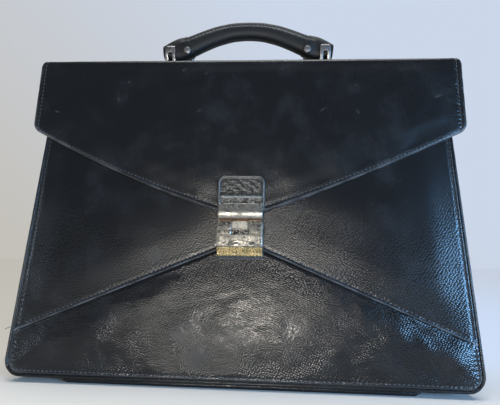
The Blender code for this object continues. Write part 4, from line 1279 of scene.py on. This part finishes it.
def build_toe():
    half, low, high = 20.4 * MM, 109.9 * MM, 117.0 * MM
    x, v = small_grid(half, low, high, 0.3 * MM)
    above_foot = ease(low, low + 2.7 * MM, v)
    lobes = 0.5 * MM * np.abs(np.sin(math.pi * x / (3.1 * MM))) * (1 - above_foot)
    d = 4.6 * MM + (v - low) * 0.74 + lobes + 0.34 * MM * ripple(x, v, 1.7 * MM, 151)
    v = v - lobes - 0.2 * MM * ripple(x, v * 0, 4 * MM, 152) * (1 - above_foot)
    gap = np.minimum(half - np.abs(x), high - v)
    outer = d - rounding(np.clip(gap, 0, None), 0.4 * MM)
    dark_marks = ease(0.0, 0.8, ripple(x, v, 1.8 * MM, 153)) * 0.9
    obj = skin("lock_toe_cast", x, v, outer, 2.3 * MM, face_section(), BRASS, dark_marks)
    settle(obj, "front", "aged_brass", "lock_base")


HATCH_WAVE = 1100  # radians a metre


def build_hasp_tab():
    """The glossy leather tab above the lock, rounded at the top, with a beaded rim."""
    rise, _ = flap_rise(flap_edge(0, 340 * MM))
    half, low, high, radius = 21.9 * MM, 150.2 * MM, 183.2 * MM, 6 * MM
    x = lines_between(2 * half, 0.7 * MM) - half
    beyond = np.clip(np.abs(x) - (half - radius), 0, radius)
    top = high - radius + np.sqrt(radius**2 - beyond**2)
    v = columns_between(np.full(len(x), low), top, 0.6 * MM)
    x = np.broadcast_to(x[:, None], v.shape)
    gap, along = near(border_of(x, v, 2), x, v)
    base = rise(x, v)
    beads = 0.75 + 0.25 * np.cos(math.tau * along / (1.9 * MM))
    rim = 0.6 * MM * beads * bell(gap - 1.5 * MM, 0.7 * MM)
    groove = 0.35 * MM * bell(gap - 3.0 * MM, 0.6 * MM)
    fan = np.where(ripple(x, v, 14 * MM, 79) > 0, x + v, x - v)
    field = ease(3.2 * MM, 4.4 * MM, gap)
    hatch = 0.5 * MM * (0.55 + 0.45 * ripple(x, v, 4 * MM, 80)) * np.abs(np.sin(fan * HATCH_WAVE)) * field
    band = 0.8 * MM * bell(v - 163.5 * MM, 2.0 * MM) * ease(2 * MM, 4 * MM, gap)
    outer = base + 1.75 * MM + rim - groove - hatch + band - rounding(gap, 0.9 * MM)
    patchy = 0.4 + 0.6 * ease(-0.5, 0.6, ripple(x, v, 7 * MM, 77))
    wear = 0.8 * beads**2 * bell(gap - 1.4 * MM, 0.5 * MM) * patchy
    # Painted highlight: a paler line along the raised band across the tab.
    wear += 0.55 * bell(v - 163.0 * MM, 0.9 * MM) * ease(2 * MM, 4 * MM, gap)
    wear += 0.5 * ease(0.2, 0.7, ripple(x, v, 3 * MM, 82)) * np.sin(fan * HATCH_WAVE) ** 8 * field
    section, _ = wrapped_section(-1, FLAP_OUT, FOLD_RADIUS)
    obj = skin("hasp_tab_skin", x, v, outer, base + 0.3 * MM, section, TAB_LEATHER, wear)
    settle(obj, "flap_front", "leather", "hasp_tab")


# ---------------------------------------------------------------- handle


TAPER = (64.5 * MM, 73.6 * MM)
HANDLE_HALF = 89.6 * MM
PLANE_BELOW_AXIS = HANDLE_AXIS[2] - TOP_Z
# Distances from the middle and heights over the top plane, in millimetres
HANDLE_TOP = (
    (0, 16, 32, 48, 62, 74, 84, 90, 99),
    (54.4, 53.8, 50.8, 45.4, 39.6, 34.6, 29.5, 24.5, 20),
)
HANDLE_UNDER = (
    (0, 16, 32, 46, 60, 70, 80, 90, 99),
    (35.6, 34.3, 29.6, 23.4, 16.0, 12.4, 13.0, 14.4, 15),
)
SQUARENESS = 0.75  # power of the sine and cosine round a section: 1 is an ellipse


def outline_height(x, table):
    """Height over the handle's axis from one of the tables, without its corners."""
    total = np.zeros(np.shape(x))
    shifts = np.linspace(-6, 6, 13) * MM
    for shift in shifts:
        total += np.interp(np.abs(x + shift) / MM, *table)
    return total / len(shifts) * MM - PLANE_BELOW_AXIS


def arch(x):
    return (outline_height(x, HANDLE_TOP) + outline_height(x, HANDLE_UNDER)) / 2


def half_height(x):
    return (outline_height(x, HANDLE_TOP) - outline_height(x, HANDLE_UNDER)) / 2


def handle_points(x, extra, turns, welt=1.0):
    """Points on rounded sections of the handle, with a flat welt sewn along its top."""
    x = np.asarray(x, float)
    step = 1 * MM
    slope = (arch(x + step) - arch(x - step)) / (2 * step)
    slope = slope * (1 - 0.6 * ease(60 * MM, 72 * MM, np.abs(x)))
    length = np.hypot(1, slope)
    strap = ease(TAPER[0], TAPER[1], np.abs(x))
    height = half_height(x) / length
    depth = 7.6 * MM - 1.9 * MM * strap
    cosine = np.cos(turns)
    sine = np.sin(turns)
    up = np.sign(cosine) * np.abs(cosine) ** SQUARENESS * (height + extra)[:, None]
    out = np.sign(sine) * np.abs(sine) ** SQUARENESS * (depth + extra)[:, None]
    in_welt = ease(-0.5 * MM, 0.5 * MM, up - (height[:, None] - 6.6 * MM))
    pinch = 0.36 * welt * (1 - strap)[:, None] * in_welt
    out = out * (1 - pinch)
    px = x[:, None] - slope[:, None] / length[:, None] * up
    pz = arch(x)[:, None] + up / length[:, None]
    return HANDLE_AXIS + np.stack([px, out, pz], axis=-1)


def handle_tube(name, x, extra, material, welt=1.0, cap=2.0 * MM, steps=48):
    """A closed length of handle, with rounded ends."""
    turns = math.tau * np.arange(steps) / steps
    rings = [handle_points(x, extra, turns, welt)]
    shrink = np.array([0.9, 0.7, 0.4])
    ends = []
    for end, way in ((0, -1), (-1, 1)):
        ring = rings[0][end]
        centre = ring.mean(axis=0)
        push = np.array([way, 0, 0]) * cap
        ends.append([centre + (ring - centre) * s + push * math.sqrt(1 - s * s) for s in shrink])
    points = np.concatenate([np.array(ends[0])[::-1], rings[0], np.array(ends[1])])
    obj = mesh_object(name, points.reshape(-1, 3), tube_faces(0, len(points), steps), material)
    fix_normals(obj)
    welt_highlight = np.zeros(points.shape[:2])
    height = half_height(x)
    cosine = np.cos(turns)
    up = np.multiply.outer(height + extra, np.sign(cosine) * np.abs(cosine) ** SQUARENESS)
    # Painted highlight: a paler line along the shoulder of the welt, carried in the "wear" attribute.
    line = bell(up - height[:, None] + 6.4 * MM, 0.7 * MM)
    welt_highlight[3:-3] = 0.75 * line * welt * (1 - ease(56 * MM, 66 * MM, np.abs(x)))[:, None]
    paint_wear(obj, welt_highlight.reshape(-1))
    return obj


# Radius and place along the rivet, in millimetres, from its neck to the top of its dome
RIVET_DOME = (
    (1.2, 8.0), (3.6, 8.1), (3.6, 10.1), (3.45, 10.45), (3.1, 10.6),
    (2.9, 10.5), (2.6, 10.62), (1.6, 10.8), (0.2, 10.9),
)


def build_handle():
    x = np.arange(-HANDLE_HALF + 1.5 * MM, HANDLE_HALF - 1.4 * MM, 1 * MM)
    grip = handle_tube("grip_skin", x, 0.0, HANDLE_LEATHER)
    settle(grip, "handle", "leather", "grip_leather", "grip_core")
    build_handle_stitching()
    for side, word in ((-1, "left"), (1, "right")):
        ends = sorted([side * 60.8 * MM, side * (HANDLE_HALF - 0.6 * MM)])
        x = np.linspace(*ends, 40)
        extra = 0.7 * MM + 0.8 * MM * ease(64 * MM, 75 * MM, np.abs(x))
        tab = handle_tube("handle_tab_" + word + "_skin", x, extra, HANDLE_LEATHER, 1.0, 0.8 * MM)
        settle(tab, "handle", "leather", "handle_tab_" + word)
        low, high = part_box("handle_rivet_" + word)
        centre = (low + high) / 2
        drop = (high.y - low.y) / 2 - RIVET_DOME[-1][1] * MM
        half = [(r * MM, a * MM + drop) for r, a in RIVET_DOME]
        profile = [(r, -a) for r, a in reversed(half)] + half
        rivet = lathe("handle_rivet_" + word + "_dome", profile, centre, (0, 1, 0), GUNMETAL)
        fix_normals(rivet)
        settle(rivet, "handle", "gunmetal", "handle_rivet_" + word)


def build_handle_stitching():
    """Two rows, front and rear, under the welt."""
    vertices = []
    faces = []
    lift = np.array([-0.4, 0.12, 0.22, 0.22, 0.12, -0.4]) * MM
    sizes = np.array([0.2, 0.34, 0.36, 0.36, 0.34, 0.2]) * MM
    for way in (-1, 1):
        x = np.arange(-58 * MM, 58.1 * MM, 0.5 * MM)
        height = half_height(x)
        target = height - 7.5 * MM
        turn = np.arccos(np.clip((target / height) ** (1 / SQUARENESS), -1, 1))
        places = [handle_points(a[None], 0.0, way * b[None])[0, 0] for a, b in zip(x, turn)]
        line = resample(places, STITCH_PITCH / 8)
        outward = unit(np.array([0, way * 1.0, 0.35]))
        for start in range(0, len(line) - 8, 8):
            part = line[start + 1 : start + 7]
            centre = part + lift[:, None] * outward
            across = np.cross(outward, unit(np.gradient(centre, axis=0)))
            base = len(vertices)
            ring = circle(across, np.broadcast_to(outward, across.shape), 6)
            vertices.extend((centre[:, None, :] + sizes[:, None, None] * ring).reshape(-1, 3))
            faces.extend(tube_faces(base, 6, 6))
    obj = mesh_object("grip_stitching", vertices, faces, WORN_THREAD)
    fix_normals(obj)
    settle(obj, "handle", "leather")


def build_bail(word):
    """The CAD bail with the corners of its top rounded off, as seen from the front."""
    made = bmesh.new()
    made.from_mesh(nodes["bail_" + word].data)
    bmesh.ops.remove_doubles(made, verts=made.verts, dist=0.01 * MM)
    low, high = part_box("bail_" + word)
    middle = (low.x + high.x) / 2
    half = (high.x - low.x) / 2
    radius = 4.4 * MM
    for drop in (0.15, 0.5, 1.0, 1.7, 2.6, 3.6, 4.4):
        everything = made.verts[:] + made.edges[:] + made.faces[:]
        place = (0, 0, high.z - drop * MM)
        bmesh.ops.bisect_plane(made, geom=everything, plane_co=place, plane_no=(0, 0, 1))
    for vertex in made.verts:
        inside = max(0.0, vertex.co.z - (high.z - radius))
        width = half - radius + math.sqrt(max(0.0, radius**2 - inside**2))
        vertex.co.x = middle + (vertex.co.x - middle) * max(width, 1.4 * MM) / half
    bmesh.ops.dissolve_limit(made, angle_limit=math.radians(1), verts=made.verts, edges=made.edges)
    bevel_edges(made, 0.35 * MM, 2, 30)
    mesh = bpy.data.meshes.new("bail_" + word + "_loop")
    made.to_mesh(mesh)
    made.free()
    mesh.materials.append(LUG_METAL)
    smooth_with_edges(mesh)
    obj = add_object(mesh.name, mesh)
    settle(obj, "handle", "nickel", "bail_" + word)


# ---------------------------------------------------------------- kept CAD nodes

SCREWED = ("pivot_pin", "hasp_rivet", "lock_screw")
# Material, bevel in millimetres, nodes
KEPT = (
    (LUG_METAL, 0.3, ("chape_left", "chape_right")),
    (GUNMETAL, 0.2, [f"chape_rivet_{word}_{i}" for word in ("left", "right") for i in (1, 2)]),
    (STEEL, 0.2, [f"{stem}_{word}" for stem in SCREWED for word in ("left", "right")]),
    (STEEL, 0.2, ("carry_bar", "hasp_staple", "latch_bolt", "lock_back_plate")),
    (DULL_NICKEL, 0.4, ("lock_cover",)),
    (NICKEL, 0.35, ("lock_button",)),
    (BOARD, 0, ("front_board", "back_board", "base_board", "flap_padding")),
)


def finish_kept_nodes():
    kept = [(nodes[name], material, width) for material, width, names in KEPT for name in names]
    for obj, material, width in kept:
        if not obj.material_slots:
            obj.data.materials.append(material)
        for slot in obj.material_slots:
            slot.material = material
        if width:
            weld = obj.modifiers.new("weld", "WELD")
            weld.merge_threshold = 0.01 * MM
            bevel = obj.modifiers.new("bevel", "BEVEL")
            bevel.width = width * MM
            bevel.segments = 3
            bevel.limit_method = "ANGLE"
            bevel.angle_limit = math.radians(35)
            bevel.use_clamp_overlap = True


# ---------------------------------------------------------------- stage


CAMERA_PLACE = (0.0313, -0.4093, 0.1140)
CAMERA_TURN = (97.504, -1.158, 3.406)  # degrees
LENS = 29.42  # millimetres, on a sensor 36 mm wide

# Name, place, target, size, watts, colour
LAMPS = (
    ("lamp_key", (-0.1, -1.5, 0.08), (0, 0, 0.06), (0.24, 0.1), 10.5, (1.0, 0.95, 0.86)),
    ("lamp_window", (1.12, -1.0, 0.24), (0.2, 0, 0.1), (0.35, 0.5), 38.0, (0.25, 0.56, 1.0)),
    ("lamp_left", (-1.3, -0.8, 0.15), (-0.2, 0, 0.1), (0.3, 0.4), 5.0, (0.7, 0.84, 1.0)),
)


def build_stage():
    size = 6.0
    points = [(-size, -size, 0), (size, -size, 0), (size, size, 0), (-size, size, 0)]
    material, tree, shader, place = new_material("floor_paper")
    cloud = noise_texture(tree, place, 3.0, 2.0).outputs[0]
    parts = node(tree, "SeparateXYZ", [(0, place)]).outputs
    # Painted light and shade on the floor: pale in front of the case, darker behind it, and bluish behind
    # on the right where the window light falls.
    front = mix_colour(tree, cloud, (0.8, 0.745, 0.67), (0.83, 0.78, 0.7))
    across = map_range(tree, parts[0], -0.4, 0.6)
    behind = mix_colour(tree, across, (0.6, 0.572, 0.51), (0.65, 0.72, 0.85))
    feed(shader, "Base Color", mix_colour(tree, map_range(tree, parts[1], -0.12, 0.12), front, behind))
    feed(shader, "Roughness", 0.9)
    floor = mesh_object("floor", points, [(0, 1, 2, 3)], material, smooth=False)


def area_light(name, place, target, size, power, colour):
    data = bpy.data.lights.new(name, "AREA")
    data.shape = "RECTANGLE"
    data.size, data.size_y = size
    data.energy = power
    data.color = colour
    lamp = add_object(name, data)
    lamp.location = place
    lamp.rotation_euler = (Vector(target) - Vector(place)).to_track_quat("-Z", "Y").to_euler()


def build_light():
    scene = bpy.context.scene
    scene.view_settings.view_transform = "Standard"
    scene.view_settings.look = "None"
    world = bpy.data.worlds.new("studio")
    scene.world = world
    world.use_nodes = True
    tree = world.node_tree
    background = tree.nodes["Background"]
    background.inputs["Color"].default_value = (0.86, 0.92, 1.0, 1.0)
    background.inputs["Strength"].default_value = 0.19
    # The backdrop seen by the camera is painted light: warm and darker on the left, paler and bluish to
    # the right and above, where the window light falls.
    shown = tree.nodes.new("ShaderNodeBackground")
    way = tree.nodes.new("ShaderNodeTexCoord").outputs["Generated"]
    parts = node(tree, "SeparateXYZ", [(0, way)]).outputs
    side = math_node(tree, "MULTIPLY_ADD", parts[0], 0.95, 0.5)
    share = math_node(tree, "MULTIPLY_ADD", parts[2], 0.9, side, clamp=True)
    tree.links.new(mix_colour(tree, share, (0.55, 0.53, 0.49), (0.6, 0.68, 0.82)), shown.inputs["Color"])
    shown.inputs["Strength"].default_value = 1.0
    path = tree.nodes.new("ShaderNodeLightPath")
    mix = tree.nodes.new("ShaderNodeMixShader")
    tree.links.new(path.outputs["Is Camera Ray"], mix.inputs[0])
    tree.links.new(background.outputs[0], mix.inputs[1])
    tree.links.new(shown.outputs[0], mix.inputs[2])
    tree.links.new(mix.outputs[0], tree.nodes["World Output"].inputs[0])
    for lamp in LAMPS:
        area_light(*lamp)
    data = bpy.data.lights.new("lamp_sky", "SUN")
    data.energy = 2.3
    data.angle = math.radians(40)
    data.color = (1.0, 0.995, 0.98)
    add_object("lamp_sky", data).rotation_euler = (math.radians(3), 0, 0)


def build_camera():
    data = bpy.data.cameras.new("camera")
    data.lens = LENS
    data.sensor_width = 36.0
    data.dof.use_dof = False
    camera = add_object("camera", data)
    camera.location = CAMERA_PLACE
    camera.rotation_euler = [math.radians(angle) for angle in CAMERA_TURN]
    bpy.context.scene.camera = camera


# ---------------------------------------------------------------- assembly

build_flap()
build_front()
build_back_skin()
build_piping(-1, "front_piping", "front")
build_piping(1, "back_piping", "case")
build_binding(-1, "front_top_binding", "front", YOKE_PROUD)
build_binding(1, "back_top_binding", "case", 0.0)
build_lining(-1, "front_lining", "front")
build_lining(1, "back_lining", "case")
build_pocket()
build_divider()
build_gusset(-1, "left")
build_gusset(1, "right")
build_base()
build_lock_pad()
build_hasp_tab()
build_hasp_plate()
build_lock_face()
build_lock_spring()
build_handle()
build_bail("left")
build_bail("right")
finish_kept_nodes()
build_stage()
build_light()
build_camera()
